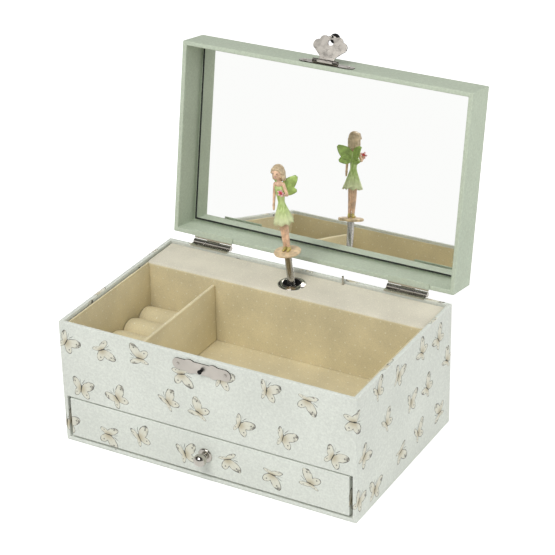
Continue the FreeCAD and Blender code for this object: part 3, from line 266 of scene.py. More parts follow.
def pushed(shape, face, shift):
    """Extrudes one face by a shift in millimetres."""
    moved = bmesh.ops.extrude_discrete_faces(shape, faces=[face])["faces"][0]
    bmesh.ops.translate(shape, vec=Vector(shift) * MM, verts=moved.verts)
    return moved


def lay_sheet(shape, low, high):
    """Lays a flat sheet on each face, so that a pattern runs on round the edges of a box."""
    sheet = shape.loops.layers.uv.new("sheet")
    right, front, top = high[0] * MM, low[1] * MM, high[2] * MM
    shape.normal_update()
    for face in shape.faces:
        x, y, z = face.normal
        for loop in face.loops:
            spot = loop.vert.co
            if abs(y) >= max(abs(x), abs(z)):
                loop[sheet].uv = (spot.x, spot.z)
            elif abs(x) >= abs(z):
                loop[sheet].uv = (math.copysign(right + spot.y - front, x), spot.z)
            else:
                loop[sheet].uv = (spot.x, top + spot.y - front)


def piece_of(name, shape, body, slot, *materials):
    """Makes a shape a named piece that moves with a body."""
    mesh = bpy.data.meshes.new(name)
    shape.to_mesh(mesh)
    shape.free()
    piece = bpy.data.objects.new(name, mesh)
    bpy.context.scene.collection.objects.link(piece)
    for material in materials:
        mesh.materials.append(material)
    if body:
        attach(piece, body)
    return piece


def soften(piece, width, segments=3):
    """Rounds the sharp edges and keeps the shading of the broad faces flat."""
    edge = piece.modifiers.new("edge", "BEVEL")
    edge.width = width * MM
    edge.segments = segments
    edge.limit_method = "ANGLE"
    edge.angle_limit = math.radians(38)
    smooth(piece)
    piece.modifiers.new("faces", "WEIGHTED_NORMAL")


def smooth(piece):
    """Shades a piece as one rounded surface."""
    piece.data.polygons.foreach_set("use_smooth", [True] * len(piece.data.polygons))


def finished(material, *words):
    """Gives a material to CAD nodes that show as they are."""
    for word in words:
        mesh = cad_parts[word].data
        mesh.materials.clear()
        mesh.materials.append(material)


def drill(piece, *cutters):
    """Cuts shapes out of a piece."""
    for shape in cutters:
        mesh = bpy.data.meshes.new("cutter")
        shape.to_mesh(mesh)
        shape.free()
        cutter = bpy.data.objects.new("cutter", mesh)
        bpy.context.scene.collection.objects.link(cutter)
        hole = piece.modifiers.new("hole", "BOOLEAN")
        hole.object = cutter
        hole.solver = "EXACT"
        evaluated = piece.evaluated_get(bpy.context.evaluated_depsgraph_get())
        drilled = bpy.data.meshes.new_from_object(evaluated)
        piece.modifiers.clear()
        piece.data = drilled
        bpy.data.objects.remove(cutter)


def bar(start, end, radius, tip=None, segments=32):
    """A round bar or a taper between two points in millimetres."""
    shape = bmesh.new()
    start, end = Vector(start) * MM, Vector(end) * MM
    along = end - start
    turn = along.to_track_quat("Z", "Y").to_matrix().to_4x4()
    bmesh.ops.create_cone(shape, cap_ends=True, segments=segments, radius1=radius * MM,
                          radius2=(radius if tip is None else tip) * MM, depth=along.length,
                          matrix=Matrix.Translation((start + end) / 2) @ turn)
    return shape


case_paper = papered("case_paper", MINT, butterfly_print())
plain_board = boarded()
case = block(CASE_LOW, CASE_HIGH)
rim = facing(case, (0, 0, 1))
bmesh.ops.inset_region(case, faces=[rim], thickness=CASE_BOARD * MM)
pushed(case, rim, (0, 0, -TRAY_DEPTH))
face = facing(case, (0, -1, 0))
bmesh.ops.inset_region(case, faces=[face], thickness=CASE_BOARD * MM)
for vert in face.verts:
    vert.co.z = min(vert.co.z, POCKET_TOP * MM)
pocket_back = pushed(case, face, (0, POCKET_DEPTH, 0))
lay_sheet(case, CASE_LOW, CASE_HIGH)
pocket_back.material_index = 1
case_shell = piece_of("papered_case", case, "case", "case_paper", case_paper, plain_board)
drill(case_shell, bar((KEY_X, 60, KEY_Z), (KEY_X, 75, KEY_Z), KEY_HOLE))
soften(case_shell, 0.6)
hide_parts("base_board", "left_side_board", "right_side_board", "back_board", "front_board",
            "tray_floor_board")

# Tray lining: card covered in short beige velour with a fine pale dot, pushed into the recess.
# The front and side liners stop just under the rim, and the floor is a thin pad.
BEIGE = (0.70, 0.62, 0.405, 1)
DOT = (0.82, 0.78, 0.64, 1)
DOT_PITCH = 7.5
TRAY_SIDE = 106
TRAY_FRONT = -65.75
TRAY_LOW = 37.5
PAD_TOP = 40.5
LINER_TOP = 89
LINER_FACE = -64.55
LEDGE_FRONT = 33.5
SIDE_APART = 210.8
DIVIDER_TOP = 84


def velour_nap():
    """Short velour: a fine fibre, a brushed cloud of tone and a pale dot in staggered rows."""
    group, source, result = start_group("velour_nap", (
        ("Vector", "INPUT", "NodeSocketVector"), ("Sheet", "INPUT", "NodeSocketVector"),
        ("Tone", "OUTPUT", "NodeSocketFloat"), ("Dot", "OUTPUT", "NodeSocketFloat"),
        ("Height", "OUTPUT", "NodeSocketFloat")))
    spot, sheet = source.outputs[0], source.outputs[1]
    fibre = node(group, "ShaderNodeTexNoise", {"Vector": spot, "Scale": 1500, "Detail": 3, "Roughness": 0.7})
    cloud = node(group, "ShaderNodeTexNoise", {"Vector": spot, "Scale": 35, "Detail": 3})
    place, _ = cells(group, sheet, DOT_PITCH)
    reach = node(group, "ShaderNodeVectorMath", {0: place}, operation="LENGTH").outputs["Value"]
    dot = ramp(group, reach, 0.05, 0.09, 0.75, 0.0)
    tone = calc(group, "MULTIPLY_ADD", cloud.outputs[0], 0.5, calc(group, "MULTIPLY", fibre.outputs[0], 0.6))
    group.links.new(ramp(group, tone, 0.3, 0.8), result.inputs[0])
    group.links.new(dot, result.inputs[1])
    group.links.new(fibre.outputs[0], result.inputs[2])
    return group


VELOUR_NAP = velour_nap()


def velvety(name, colour):
    """Velour of one colour, darker where the nap is brushed away from the light."""
    material, tree, shader = start_material(name, Roughness=0.92, Specular_IOR_Level=0.15, Sheen_Weight=0.35,
                                            Sheen_Roughness=0.4, Sheen_Tint=(0.95, 0.92, 0.84, 1))
    spot = node(tree, "ShaderNodeTexCoord")
    nap = node(tree, "ShaderNodeGroup", {}, node_tree=VELOUR_NAP)
    tree.links.new(spot.outputs["Object"], nap.inputs[0])
    tree.links.new(spot.outputs["UV"], nap.inputs[1])
    dark = tuple(part * 0.82 for part in colour[:3]) + (1,)
    light = tuple(part * 1.14 for part in colour[:3]) + (1,)
    brushed = blended(tree, nap.outputs["Tone"], dark, light)
    tree.links.new(blended(tree, nap.outputs["Dot"], brushed, DOT), shader.inputs["Base Color"])
    emboss(tree, shader, nap.outputs["Height"], 0.5, 0.3)
    return material


velour = velvety("velour", BEIGE)


def velour_block(name, low, high, body, rounding, *nodes):
    """A velour-covered slab that stands for CAD nodes."""
    shape = block(low, high)
    lay_sheet(shape, CASE_LOW, CASE_HIGH)
    slab = piece_of(name, shape, body, "lining", velour)
    soften(slab, rounding, 4)
    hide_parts(*nodes)
    return slab


floor = velour_block("tray_floor_velour", (-104.7, -64.5, TRAY_LOW), (104.7, 33.45, PAD_TOP), "case", 0.7,
                     "tray_floor_pad")
velour_block("tray_front_velour", (-TRAY_SIDE, TRAY_FRONT, TRAY_LOW), (TRAY_SIDE, LINER_FACE, LINER_TOP),
             "case", 0.45, "tray_front_liner")
liners = block((-TRAY_SIDE, LINER_FACE, TRAY_LOW), (-104.8, LEDGE_FRONT, LINER_TOP))
liner_copy = bmesh.ops.duplicate(liners, geom=liners.faces[:])["geom"]
bmesh.ops.translate(liners, vec=(SIDE_APART * MM, 0, 0),
                    verts=[part for part in liner_copy if isinstance(part, bmesh.types.BMVert)])
lay_sheet(liners, CASE_LOW, CASE_HIGH)
side_velour = piece_of("tray_side_velour", liners, "case", "lining", velour)
soften(side_velour, 0.45, 4)
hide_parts("tray_side_liners")
velour_block("ring_bay_divider", (-53.8, LINER_FACE, PAD_TOP), (-51.4, LEDGE_FRONT, DIVIDER_TOP), "case", 1.1,
             "tray_divider")

# Music compartment: a card wall and ledge under one sheet of velour, which rolls over the corner.
# The ledge has a hole under the grommet and a small one for the stop pin.
# Its top faces get a paler, greyer copy of the velour: painted light falling on the ledge.
LEDGE_LIT_BEIGE = (0.712, 0.673, 0.55, 1)
LEDGE_TOP = 89.2
LEDGE_UNDER = 86.7
LEDGE_DEPTH = 29.25
LEDGE_ROLL = 2.2
WALL_BACK = 36.5
SPINDLE_Y = 49.4
SPINDLE_HOLE = 7.3
STOP_SPOT = (31, 64.85)
STOP_HOLE = 1.0
ledge_lit_velour = velvety("ledge_painted_light_velour", LEDGE_LIT_BEIGE)
ledge = block((-TRAY_SIDE, LEDGE_FRONT, TRAY_LOW), (TRAY_SIDE, WALL_BACK, LEDGE_TOP))
bmesh.ops.bisect_plane(ledge, geom=ledge.verts[:] + ledge.edges[:] + ledge.faces[:], dist=1e-6,
                       plane_co=(0, 0, LEDGE_UNDER * MM), plane_no=(0, 0, 1))
ledge.normal_update()
back_strip = next(part for part in ledge.faces
                  if part.normal.y > 0.9 and part.calc_center_median().z > LEDGE_UNDER * MM)
pushed(ledge, back_strip, (0, LEDGE_DEPTH, 0))
corner = [edge for edge in ledge.edges
          if all(vert.co.y < (LEDGE_FRONT + 0.1) * MM and vert.co.z > (LEDGE_TOP - 0.1) * MM
                 for vert in edge.verts)]
bmesh.ops.bevel(ledge, geom=corner, offset=LEDGE_ROLL * MM, segments=6, profile=0.5, affect="EDGES",
                material=-1)
lay_sheet(ledge, CASE_LOW, CASE_HIGH)
# Faces that look up take the paler copy of the velour, as painted light.
for part in ledge.faces:
    part.material_index = int(part.normal.z > 0.5)
music_velour = piece_of("music_ledge", ledge, "case", "lining", velour, ledge_lit_velour)
drill(music_velour, bar((0, SPINDLE_Y, 80), (0, SPINDLE_Y, 95), SPINDLE_HOLE, segments=48),
      bar((*STOP_SPOT, 80), (*STOP_SPOT, 95), STOP_HOLE))
soften(music_velour, 0.3, 2)
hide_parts("music_wall", "music_cover")

# Ring rolls: five velour sausages glued side by side in the bay, so that rings stand between them.
# Each has a round crest that sags a little between its drawn-in ends.
ROLL_PITCH = 19.61
ROLL_FIRST = -54.745
ROLL_CREST = 59
ROLL_MIDDLE = -79.3
ROLL_HALF = 25.1


def ring_roll(number):
    """One roll as a block with a rounded top, pulled in at its ends."""
    middle = ROLL_FIRST + ROLL_PITCH * number
    half = ROLL_PITCH / 2 - 0.25
    shape = block((ROLL_MIDDLE - ROLL_HALF, middle - half, PAD_TOP),
                  (ROLL_MIDDLE + ROLL_HALF, middle + half, ROLL_CREST))
    crest = [edge for edge in shape.edges if all(vert.co.z > (ROLL_CREST - 1) * MM for vert in edge.verts)
             and abs(edge.verts[0].co.x - edge.verts[1].co.x) > 10 * MM]
    bmesh.ops.bevel(shape, geom=crest, offset=half * 0.97 * MM, segments=9, profile=0.5, affect="EDGES",
                    material=-1)
    long_edges = [edge for edge in shape.edges if abs(edge.verts[0].co.x - edge.verts[1].co.x) > 10 * MM]
    bmesh.ops.subdivide_edges(shape, edges=long_edges, cuts=15, use_grid_fill=True)
    for vert in shape.verts:
        along = (vert.co.x / MM - ROLL_MIDDLE) / ROLL_HALF
        draw = 1 - 0.075 * abs(along) ** 6 - 0.012 * math.sin(5 * along + number)
        vert.co.y = (middle + (vert.co.y / MM - middle) * draw) * MM
        vert.co.z = (PAD_TOP + (vert.co.z / MM - PAD_TOP) * draw) * MM
    lay_sheet(shape, CASE_LOW, CASE_HIGH)
    return shape


for number in range(5):
    roll = piece_of(f"ring_roll_{number + 1}", ring_roll(number), "case", "lining", velour)
    soften(roll, 0.9, 3)
    if number == 0:
        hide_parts("ring_rolls")

# Drawer: a papered front set flush in the case, on a plain board box with a velour floor.
# The print runs on from the case across the gap.
FRONT_LOW = (-105, -69.75, 4.3)
FRONT_HIGH = (105, -64.75, 33.5)
panel = block(FRONT_LOW, FRONT_HIGH)
lay_sheet(panel, CASE_LOW, CASE_HIGH)
drawer_panel = piece_of("drawer_panel", panel, "drawer", "case_paper", case_paper)
soften(drawer_panel, 0.6)
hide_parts("drawer_front")
velour_block("drawer_floor_velour", (-101.9, -64.7, 6.8), (101.9, 60.7, 7.8), "drawer", 0.3, "drawer_lining")
finished(plain_board, "drawer_sides", "drawer_back", "drawer_bottom", "cover_cleats")


# Metal fittings: pressed and turned brass plated with bright or satin nickel, with edges just broken.
# They are nailed, screwed or pinned to the boards. The catch's stud is painted black: a painted dark
# reflection of its polished ball.
def plated(name, colour, roughness):
    """Bright metal with faint smears in its polish."""
    material, tree, shader = start_material(name, Metallic=1.0)
    spot = node(tree, "ShaderNodeTexCoord")
    smear = node(tree, "ShaderNodeTexNoise", {"Vector": spot.outputs["Object"], "Scale": 260, "Detail": 4})
    cloud = node(tree, "ShaderNodeTexNoise", {"Vector": spot.outputs["Object"], "Scale": 60, "Detail": 2})
    shaded = tuple(part * 0.88 for part in colour) + (1,)
    tree.links.new(blended(tree, ramp(tree, cloud.outputs[0], 0.35, 0.65), shaded, (*colour, 1)),
                   shader.inputs["Base Color"])
    tree.links.new(ramp(tree, smear.outputs[0], 0.3, 0.7, roughness * 0.8, roughness * 1.25),
                   shader.inputs["Roughness"])
    emboss(tree, shader, smear.outputs[0], 0.04, 0.05)
    return material


nickel = plated("bright_nickel", (0.56, 0.53, 0.475), 0.15)
satin = plated("satin_nickel", (0.64, 0.60, 0.54), 0.36)
steel = plated("spring_steel", (0.55, 0.53, 0.50), 0.14)
brass = plated("brass", (0.76, 0.58, 0.27), 0.28)
# Near-black metal for the rims of the satin sheets: painted shade along their edges.
rim_shade = plated("painted_rim_shade", (0.07, 0.065, 0.055), 0.4)
# Flat near-black that stands in for shade and dark reflections: on the catch's stud, in the grommet's throat
# and on the hasp's pull ball.
shade_black, tree, shader = start_material("painted_shade_black", Specular_IOR_Level=0.2)
spot = node(tree, "ShaderNodeTexCoord")
speck = node(tree, "ShaderNodeTexNoise", {"Vector": spot.outputs["Object"], "Scale": 900, "Detail": 3})
black_fleck = ramp(tree, speck.outputs[0], 0.35, 0.7)
tree.links.new(blended(tree, black_fleck, (0.008, 0.008, 0.008, 1), (0.022, 0.021, 0.02, 1)),
               shader.inputs["Base Color"])
tree.links.new(ramp(tree, speck.outputs[0], 0.3, 0.7, 0.6, 0.9), shader.inputs["Roughness"])


def broken_edges(word, body, slot, metal, width):
    """A metal piece like its CAD node, with its sharp edges broken; a satin sheet's rim faces are near black,
    painted shade along its edges.
    """
    shape = bmesh.new()
    shape.from_mesh(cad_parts[word].data)
    bmesh.ops.remove_doubles(shape, verts=shape.verts, dist=2e-6)
    bmesh.ops.dissolve_limit(shape, angle_limit=math.radians(1), verts=shape.verts, edges=shape.edges)
    broad = max(shape.faces, key=lambda part: part.calc_area()).normal.copy()
    for part in shape.faces:
        part.material_index = int(metal is satin and abs(part.normal.dot(broad)) < 0.4)
    fitting = piece_of(f"{word}_plated", shape, body, slot, metal)
    if metal is satin:
        fitting.data.materials.append(rim_shade)
    soften(fitting, width, 2)
    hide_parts(word)


for word, body, metal, width in (
        ("catch_plate", "case", satin, 0.3), ("catch_nails", "case", nickel, 0.15),
        ("catch_stud", "case", shade_black, 0.25), ("left_hinge_case_leaf", "case", nickel, 0.15),
        ("right_hinge_case_leaf", "case", nickel, 0.15), ("hinge_case_screws", "case", nickel, 0.1),
        ("left_hinge_lid_leaf", "lid", nickel, 0.15), ("right_hinge_lid_leaf", "lid", nickel, 0.15),
        ("hinge_lid_screws", "lid", nickel, 0.1), ("hasp_base_plate", "lid", satin, 0.15),
        ("hasp_nails", "lid", nickel, 0.15), ("hasp_leaf", "hasp", satin, 0.2)):
    broken_edges(word, body, "nickel", metal, width)
finished(nickel, "hinge_pins", "hasp_pin")


def turned(name, outline, place, body, slot, metal, *nodes):
    """A turned piece from half its outline, as radius and height, set up by a placement."""
    shape = bmesh.new()
    verts = [shape.verts.new((radius * MM, 0, height * MM)) for radius, height in outline]
    edges = [shape.edges.new(pair) for pair in zip(verts, verts[1:])]
    bmesh.ops.spin(shape, geom=verts + edges, cent=(0, 0, 0), axis=(0, 0, 1), angle=math.tau, steps=48,
                   use_merge=True)
    bmesh.ops.remove_doubles(shape, verts=shape.verts, dist=1e-7)
    bmesh.ops.recalc_face_normals(shape, faces=shape.faces)
    bmesh.ops.transform(shape, matrix=place, verts=shape.verts)
    piece = piece_of(name, shape, body, slot, metal)
    smooth(piece)
    if nodes:
        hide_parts(*nodes)


def ball_outline(radius, centre, start, end, steps=14):
    """Part of a circle as radius and height, between two angles from the bottom."""
    angles = [math.radians(start + (end - start) * n / steps) for n in range(steps + 1)]
    return [(radius * math.sin(angle), centre - radius * math.cos(angle)) for angle in angles]


# Drawer knob: a turned ball on a neck, with a domed rose under it, screwed on from behind the front.
KNOB_SPOT = Vector((0, -69.75, 18.9))
KNOB_PLACE = Matrix.Translation(KNOB_SPOT * MM) @ Matrix.Rotation(math.radians(90), 4, "X")
turned("drawer_knob_rose_plated",
       [(0, 1.42), (3, 1.4), (4.3, 1.25), (4.9, 0.85), (5.15, 0.4), (5.15, 0), (0, 0)],
       KNOB_PLACE, "drawer", "nickel", nickel, "drawer_knob_rose")
turned("drawer_knob_plated", [(0, 1.4), (2.5, 1.4), (2.3, 1.9), (2.0, 2.3)] + ball_outline(4.4, 6.8, 28, 180),
       KNOB_PLACE, "drawer", "nickel", nickel, "drawer_knob")

# Grommet: a pressed nickel ring in the ledge, rolled over at its eye and thin at its rim.
# A black sleeve pushed into it is painted shade and hides the compartment round the post.
GROMMET_PLACE = Matrix.Translation(Vector((0, SPINDLE_Y, LEDGE_TOP)) * MM)
turned("grommet_plated",
       [(6.25, -2.5), (6.25, 0.9), (6.4, 1.2), (6.75, 1.4), (7.15, 1.3), (7.5, 1.0), (8.0, 0.75), (8.9, 0.65),
        (9.5, 0.45), (9.75, 0.15), (9.75, 0.01), (7.25, 0.01), (7.25, -2.5), (6.25, -2.5)],
       GROMMET_PLACE, "case", "nickel", nickel, "spindle_grommet")
turned("grommet_throat",
       [(6.1, 1.0), (6.24, 0.9), (6.24, -4.8), (3.8, -4.8), (3.8, -4.4), (6.0, -4.4), (6.0, 0.9), (6.1, 1.0)],
       GROMMET_PLACE, "case", "nickel", shade_black)

# Movement, key and stop pin: stamped brass and bright steel, mostly shut in behind the ledge.
# The key stands behind the back board and turns with the main wheel.
finished(brass, "movement_bedplate", "spring_barrel", "pinned_cylinder", "dancer_spindle", "main_wheel",
         "air_brake")
finished(steel, "tone_comb", "mainspring", "movement_screws", "knob_screw", "stop_pin")
broken_edges("winding_key", "winder", "steel", steel, 0.3)

# Lid: four rails and a top board wrapped in plain sage paper, with the mirror glued into the recess.
# It is made shut and then swung open about the line of its hinges.
SAGE = (0.55, 0.62, 0.49, 1)
LID_LOW = (-109.2, -68.95, 92.8)
LID_HIGH = (109.2, 68.95, 119.3)
LID_RAIL = 4.5
LID_DEPTH = 23
LID_OPEN = 99.5
HINGE = Vector((0, 72.25, 91.9)) * MM
OPEN_LID = (Matrix.Translation(HINGE) @ Matrix.Rotation(math.radians(-LID_OPEN), 4, "X")
            @ Matrix.Translation(-HINGE))
sage_paper = papered("lid_paper", SAGE)
lid = block(LID_LOW, LID_HIGH)
under = facing(lid, (0, 0, -1))
bmesh.ops.inset_region(lid, faces=[under], thickness=LID_RAIL * MM)
pushed(lid, under, (0, 0, LID_DEPTH))
bmesh.ops.transform(lid, matrix=OPEN_LID, verts=lid.verts)
lid_shell = piece_of("papered_lid", lid, "lid", "lid_paper", sage_paper)
soften(lid_shell, 0.7)
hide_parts("lid_front_rail", "lid_back_rail", "lid_left_rail", "lid_right_rail", "lid_top_board")
silvered, tree, shader = start_material("silvered_glass", Metallic=1.0, Base_Color=(0.965, 0.97, 0.955, 1))
spot = node(tree, "ShaderNodeTexCoord")
haze = node(tree, "ShaderNodeTexNoise", {"Vector": spot.outputs["Object"], "Scale": 30, "Detail": 3})
tree.links.new(ramp(tree, haze.outputs[0], 0.45, 0.75, 0.0, 0.025), shader.inputs["Roughness"])
finished(silvered, "mirror")

# Edge of the mirror: a narrow dark strip round the glass, painted shade of the gap between glass and paper
# and of that gap's reflection.
MIRROR_FACE = 113.3
EDGE_WIDTH = 1.8
EDGE_DEEP = 0.12
EDGE_X = 104.1
EDGE_Y = 63.85
strip = block((-EDGE_X, -EDGE_Y, MIRROR_FACE - EDGE_DEEP), (EDGE_X, EDGE_Y, MIRROR_FACE))
strip.normal_update()
bmesh.ops.delete(strip, geom=[part for part in strip.faces if abs(part.normal.z) < 0.5 or part.normal.z > 0],
                 context="FACES")
inner = strip.faces[:]
bmesh.ops.inset_region(strip, faces=inner, thickness=EDGE_WIDTH * MM, use_boundary=True)
bmesh.ops.delete(strip, geom=inner, context="FACES")
bmesh.ops.solidify(strip, geom=strip.faces[:], thickness=EDGE_DEEP * MM)
bmesh.ops.transform(strip, matrix=OPEN_LID, verts=strip.verts)
# Near black for the strip: painted shade.
gap_shade, tree, shader = start_material("painted_gap_shade", Roughness=0.5)
spot = node(tree, "ShaderNodeTexCoord")
fleck = node(tree, "ShaderNodeTexNoise", {"Vector": spot.outputs["Object"], "Scale": 700, "Detail": 2})
flecks = ramp(tree, fleck.outputs[0], 0.35, 0.7)
tree.links.new(blended(tree, flecks, (0.008, 0.01, 0.008, 1), (0.03, 0.034, 0.028, 1)),
               shader.inputs["Base Color"])
piece_of("mirror_edge", strip, "lid", "mirror_glass", gap_shade)

# Hinge cheeks: the lid's paper is turned in over each hinge leaf, so only the knuckles show.
# Each is a low raised patch on the underside of the back rail.
CHEEK = 0.14
CHEEK_HALF = 15.3
HINGE_LEAF = 0.7
HINGE_MIDDLE = 76
for word, middle in (("left", -HINGE_MIDDLE), ("right", HINGE_MIDDLE)):
    patch = block((middle - CHEEK_HALF, LID_HIGH[1] - LID_RAIL + 0.1, LID_LOW[2] - HINGE_LEAF - CHEEK),
                  (middle + CHEEK_HALF, LID_HIGH[1] + 0.05, LID_LOW[2]))
    bmesh.ops.transform(patch, matrix=OPEN_LID, verts=patch.verts)
    cheek = piece_of(f"{word}_hinge_cheek", patch, "lid", "lid_paper", sage_paper)
    soften(cheek, 0.3)

# Pull ball on the tip of the hasp: a turned ball painted black, a painted dark reflection of its polish.
# A short shank rivets it through the leaf, which leans back from the open lid.
HASP_LEAN = 25
HASP_PIN = Vector((0, 100.1424, 232.525))
BALL_OUT = 17.6
OPEN_HASP = (Matrix.Translation(HASP_PIN * MM)
             @ Matrix.Rotation(math.radians(-LID_OPEN - HASP_LEAN), 4, "X"))
BALL_PLACE = OPEN_HASP @ Matrix.Translation(Vector((0, -BALL_OUT, 0)) * MM)
turned("hasp_pull_ball", [(0, 0.7), (0.7, 0.7), (0.7, 1.5), (1.1, 1.8)] + ball_outline(3.5, 5.2, 20, 180),
       BALL_PLACE, "hasp", "nickel", shade_black, "hasp_knob")

# Spring post: one length of steel wire wound close, so that the figure can fold flat under the lid.
# Its outside is ground flat and polished.
# Its foot stands over the spindle, and its top holds the figure's stem.
COIL_RADIUS = 2.3
COIL_WIRE = 0.36
COIL_FLAT = 0.22
COIL_TURNS = 36
COIL_STEPS = 20
COIL_SIDES = 16
COIL_START = 0.65
COIL_RISE = 25.1
POST_LEAN = -6.3
POST_FOOT = Vector((0, SPINDLE_Y, 86)) * MM
LEAN = Matrix.Translation(POST_FOOT) @ Matrix.Rotation(math.radians(POST_LEAN), 4, "Y")
coil = bmesh.new()
ring = bmesh.ops.create_circle(coil, segments=COIL_SIDES, radius=COIL_WIRE * MM, matrix=Matrix.Translation(
    Vector((COIL_RADIUS, 0, COIL_START)) * MM) @ Matrix.Rotation(math.radians(90), 4, "X"))["verts"]
for vert in ring:
    vert.co.x = min(vert.co.x, (COIL_RADIUS + COIL_FLAT) * MM)
steps = COIL_TURNS * COIL_STEPS
bmesh.ops.spin(coil, geom=ring + list({edge for vert in ring for edge in vert.link_edges}), cent=(0, 0, 0),
               axis=(0, 0, 1), dvec=(0, 0, COIL_RISE * MM / steps), angle=math.tau * COIL_TURNS, steps=steps)
bmesh.ops.holes_fill(coil, edges=[edge for edge in coil.edges if edge.is_boundary], sides=COIL_SIDES)
bmesh.ops.recalc_face_normals(coil, faces=coil.faces)
for edge in coil.edges:
    edge.smooth = edge.calc_face_angle(0) < math.radians(24)
bmesh.ops.transform(coil, matrix=LEAN, verts=coil.verts)
post = piece_of("spring_coil", coil, None, "steel", steel)
smooth(post)
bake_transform(post)
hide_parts("dancer_spring")

# Figure's disc: a moulded ivory plastic foot with a soft edge, on a stem pushed into the coil.
enamel_colours = {
    "ivory": (0.82, 0.62, 0.38, 1), "skin": (0.84, 0.56, 0.38, 1), "hair": (0.64, 0.50, 0.32, 1),
    "wing": (0.42, 0.58, 0.16, 1), "shoe": (0.60, 0.50, 0.16, 1), "bloom": (0.62, 0.05, 0.07, 1),
    "petal": (0.86, 0.48, 0.50, 1), "ink": (0.09, 0.06, 0.045, 1),
}


def enamelled(word):
    """Hand-painted plastic: a little pooling of the colour and brush marks in a soft gloss."""
    colour = enamel_colours[word]
    material, tree, shader = start_material(f"{word}_enamel", Coat_Weight=0.15, Coat_Roughness=0.2)
    spot = node(tree, "ShaderNodeTexCoord")
    pool = node(tree, "ShaderNodeTexNoise", {"Vector": spot.outputs["Object"], "Scale": 320, "Detail": 3})
    brush = node(tree, "ShaderNodeTexNoise", {"Vector": spot.outputs["Object"], "Scale": 1400, "Detail": 2})
    dark = tuple(part * 0.72 for part in colour[:3]) + (1,)
    light = tuple(min(part * 1.12, 1) for part in colour[:3]) + (1,)
    painted = blended(tree, ramp(tree, pool.outputs[0], 0.3, 0.7), dark, light)
    tree.links.new(painted, shader.inputs["Base Color"])
    tree.links.new(ramp(tree, brush.outputs[0], 0.3, 0.7, 0.3, 0.5), shader.inputs["Roughness"])
    emboss(tree, shader, brush.outputs[0], 0.08, 0.08)
    return material


enamel = {word: enamelled(word) for word in enamel_colours}
DISC_TOP = 28.2
FIGURE_SCALE = (0.96, 0.96, 0.945, 1)
FIGURE = LEAN @ Matrix.Translation((0, 0, DISC_TOP * MM)) @ Matrix.Diagonal(FIGURE_SCALE)
turned("figure_disc",
       [(0, 23.2), (1.15, 23.2), (1.15, 26.2), (8.6, 26.2), (9.1, 26.45), (9.25, 26.9), (9.25, 27.5),
        (9.05, 28.0), (8.5, DISC_TOP), (0, DISC_TOP)],
       LEAN, "figure", "ivory_plastic", enamel["ivory"], "figurine_base")


# Figure: a small moulded and painted fairy, cast in one and glued to the disc.
# One arm hangs and the other holds a flower up; the skirt flares from a narrow waist.
def cast(name, word, limbs, voxel, rounds, slot="figure_enamel"):
    """Fuses tapered limbs, each with round ends, into one moulded form."""
    shape = bmesh.new()
    for start, end, radius, tip in limbs:
        mesh = bpy.data.meshes.new("limb")
        taper = bar(start, end, radius, tip, 20)
        taper.to_mesh(mesh)
        taper.free()
        shape.from_mesh(mesh)
        bpy.data.meshes.remove(mesh)
        for spot, size in ((start, radius), (end, tip)):
            bmesh.ops.create_uvsphere(shape, u_segments=20, v_segments=12, radius=size * MM,
                                      matrix=Matrix.Translation(Vector(spot) * MM))
    bmesh.ops.transform(shape, matrix=FIGURE, verts=shape.verts)
    piece = piece_of(name, shape, "figure", slot, enamel[word])
    fuse = piece.modifiers.new("fuse", "REMESH")
    fuse.mode = "VOXEL"
    fuse.voxel_size = voxel * MM
    fuse.use_smooth_shade = True
    relax = piece.modifiers.new("relax", "SMOOTH")
    relax.iterations = rounds
    return piece


body = cast("figure_body", "skin", [
    ((-1.5, 0, 28), (-1.5, -0.3, 13.5), 2.3, 1.65), ((-1.5, -0.3, 13.5), (-1.5, 0, 2.2), 1.65, 1.15),
    ((1.5, 0, 28), (1.6, -0.5, 13.5), 2.3, 1.65), ((1.6, -0.5, 13.5), (1.5, 0, 2.2), 1.65, 1.15),
    ((0, 0, 46), (0, 0, 51.6), 2.6, 2.2), ((-2.9, 0, 51.2), (2.9, 0, 51.2), 1.35, 1.35),
    ((0, 0, 51), (0, -0.2, 57.5), 1.45, 1.45), ((0, -0.5, 60.6), (0, -1.0, 58.4), 4.0, 3.2),
    ((0, -1.8, 57.2), (0, -1.6, 58.6), 2.0, 2.4), ((0, -4.55, 59.3), (0, -4.1, 60.4), 0.5, 0.35),
    ((-3.4, 0, 51), (-5.2, 0.3, 42.6), 1.3, 1.1), ((-5.2, 0.3, 42.6), (-6.0, -0.8, 35), 1.1, 0.85),
    ((-6.0, -0.8, 35), (-6.2, -1.2, 31.6), 1.0, 0.75),
    ((3.4, 0, 51), (5.8, -0.8, 43.6), 1.3, 1.1), ((5.8, -0.8, 43.6), (4.9, -5.4, 45.2), 1.1, 0.85),
    ((4.9, -5.4, 45.2), (4.7, -6.4, 46.4), 1.0, 0.9)], 0.3, 5)
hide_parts("figurine")
cast("figure_hair", "hair", [
    ((0, 0.8, 61.2), (0, 0.9, 59.5), 4.55, 4.5), ((-3.1, 0.6, 60.4), (-3.6, 0.3, 55.4), 1.7, 1.35),
    ((3.1, 0.6, 60.4), (3.6, 0.3, 55.4), 1.7, 1.35), ((-2.2, 2.6, 59.5), (-2.6, 2.6, 54.2), 2.2, 1.6),
    ((2.2, 2.6, 59.5), (2.6, 2.6, 54.2), 2.2, 1.6), ((0, 3.2, 59.5), (0, 3.2, 53.6), 2.4, 1.7),
    ((-2.4, -2.4, 63.0), (-4.0, -1.6, 60.2), 1.1, 0.9), ((2.2, -2.6, 63.1), (4.0, -1.6, 60.2), 1.1, 0.9),
    ((-1.6, -2.9, 63.4), (2.0, -2.7, 63.3), 1.2, 1.2)], 0.3, 3)
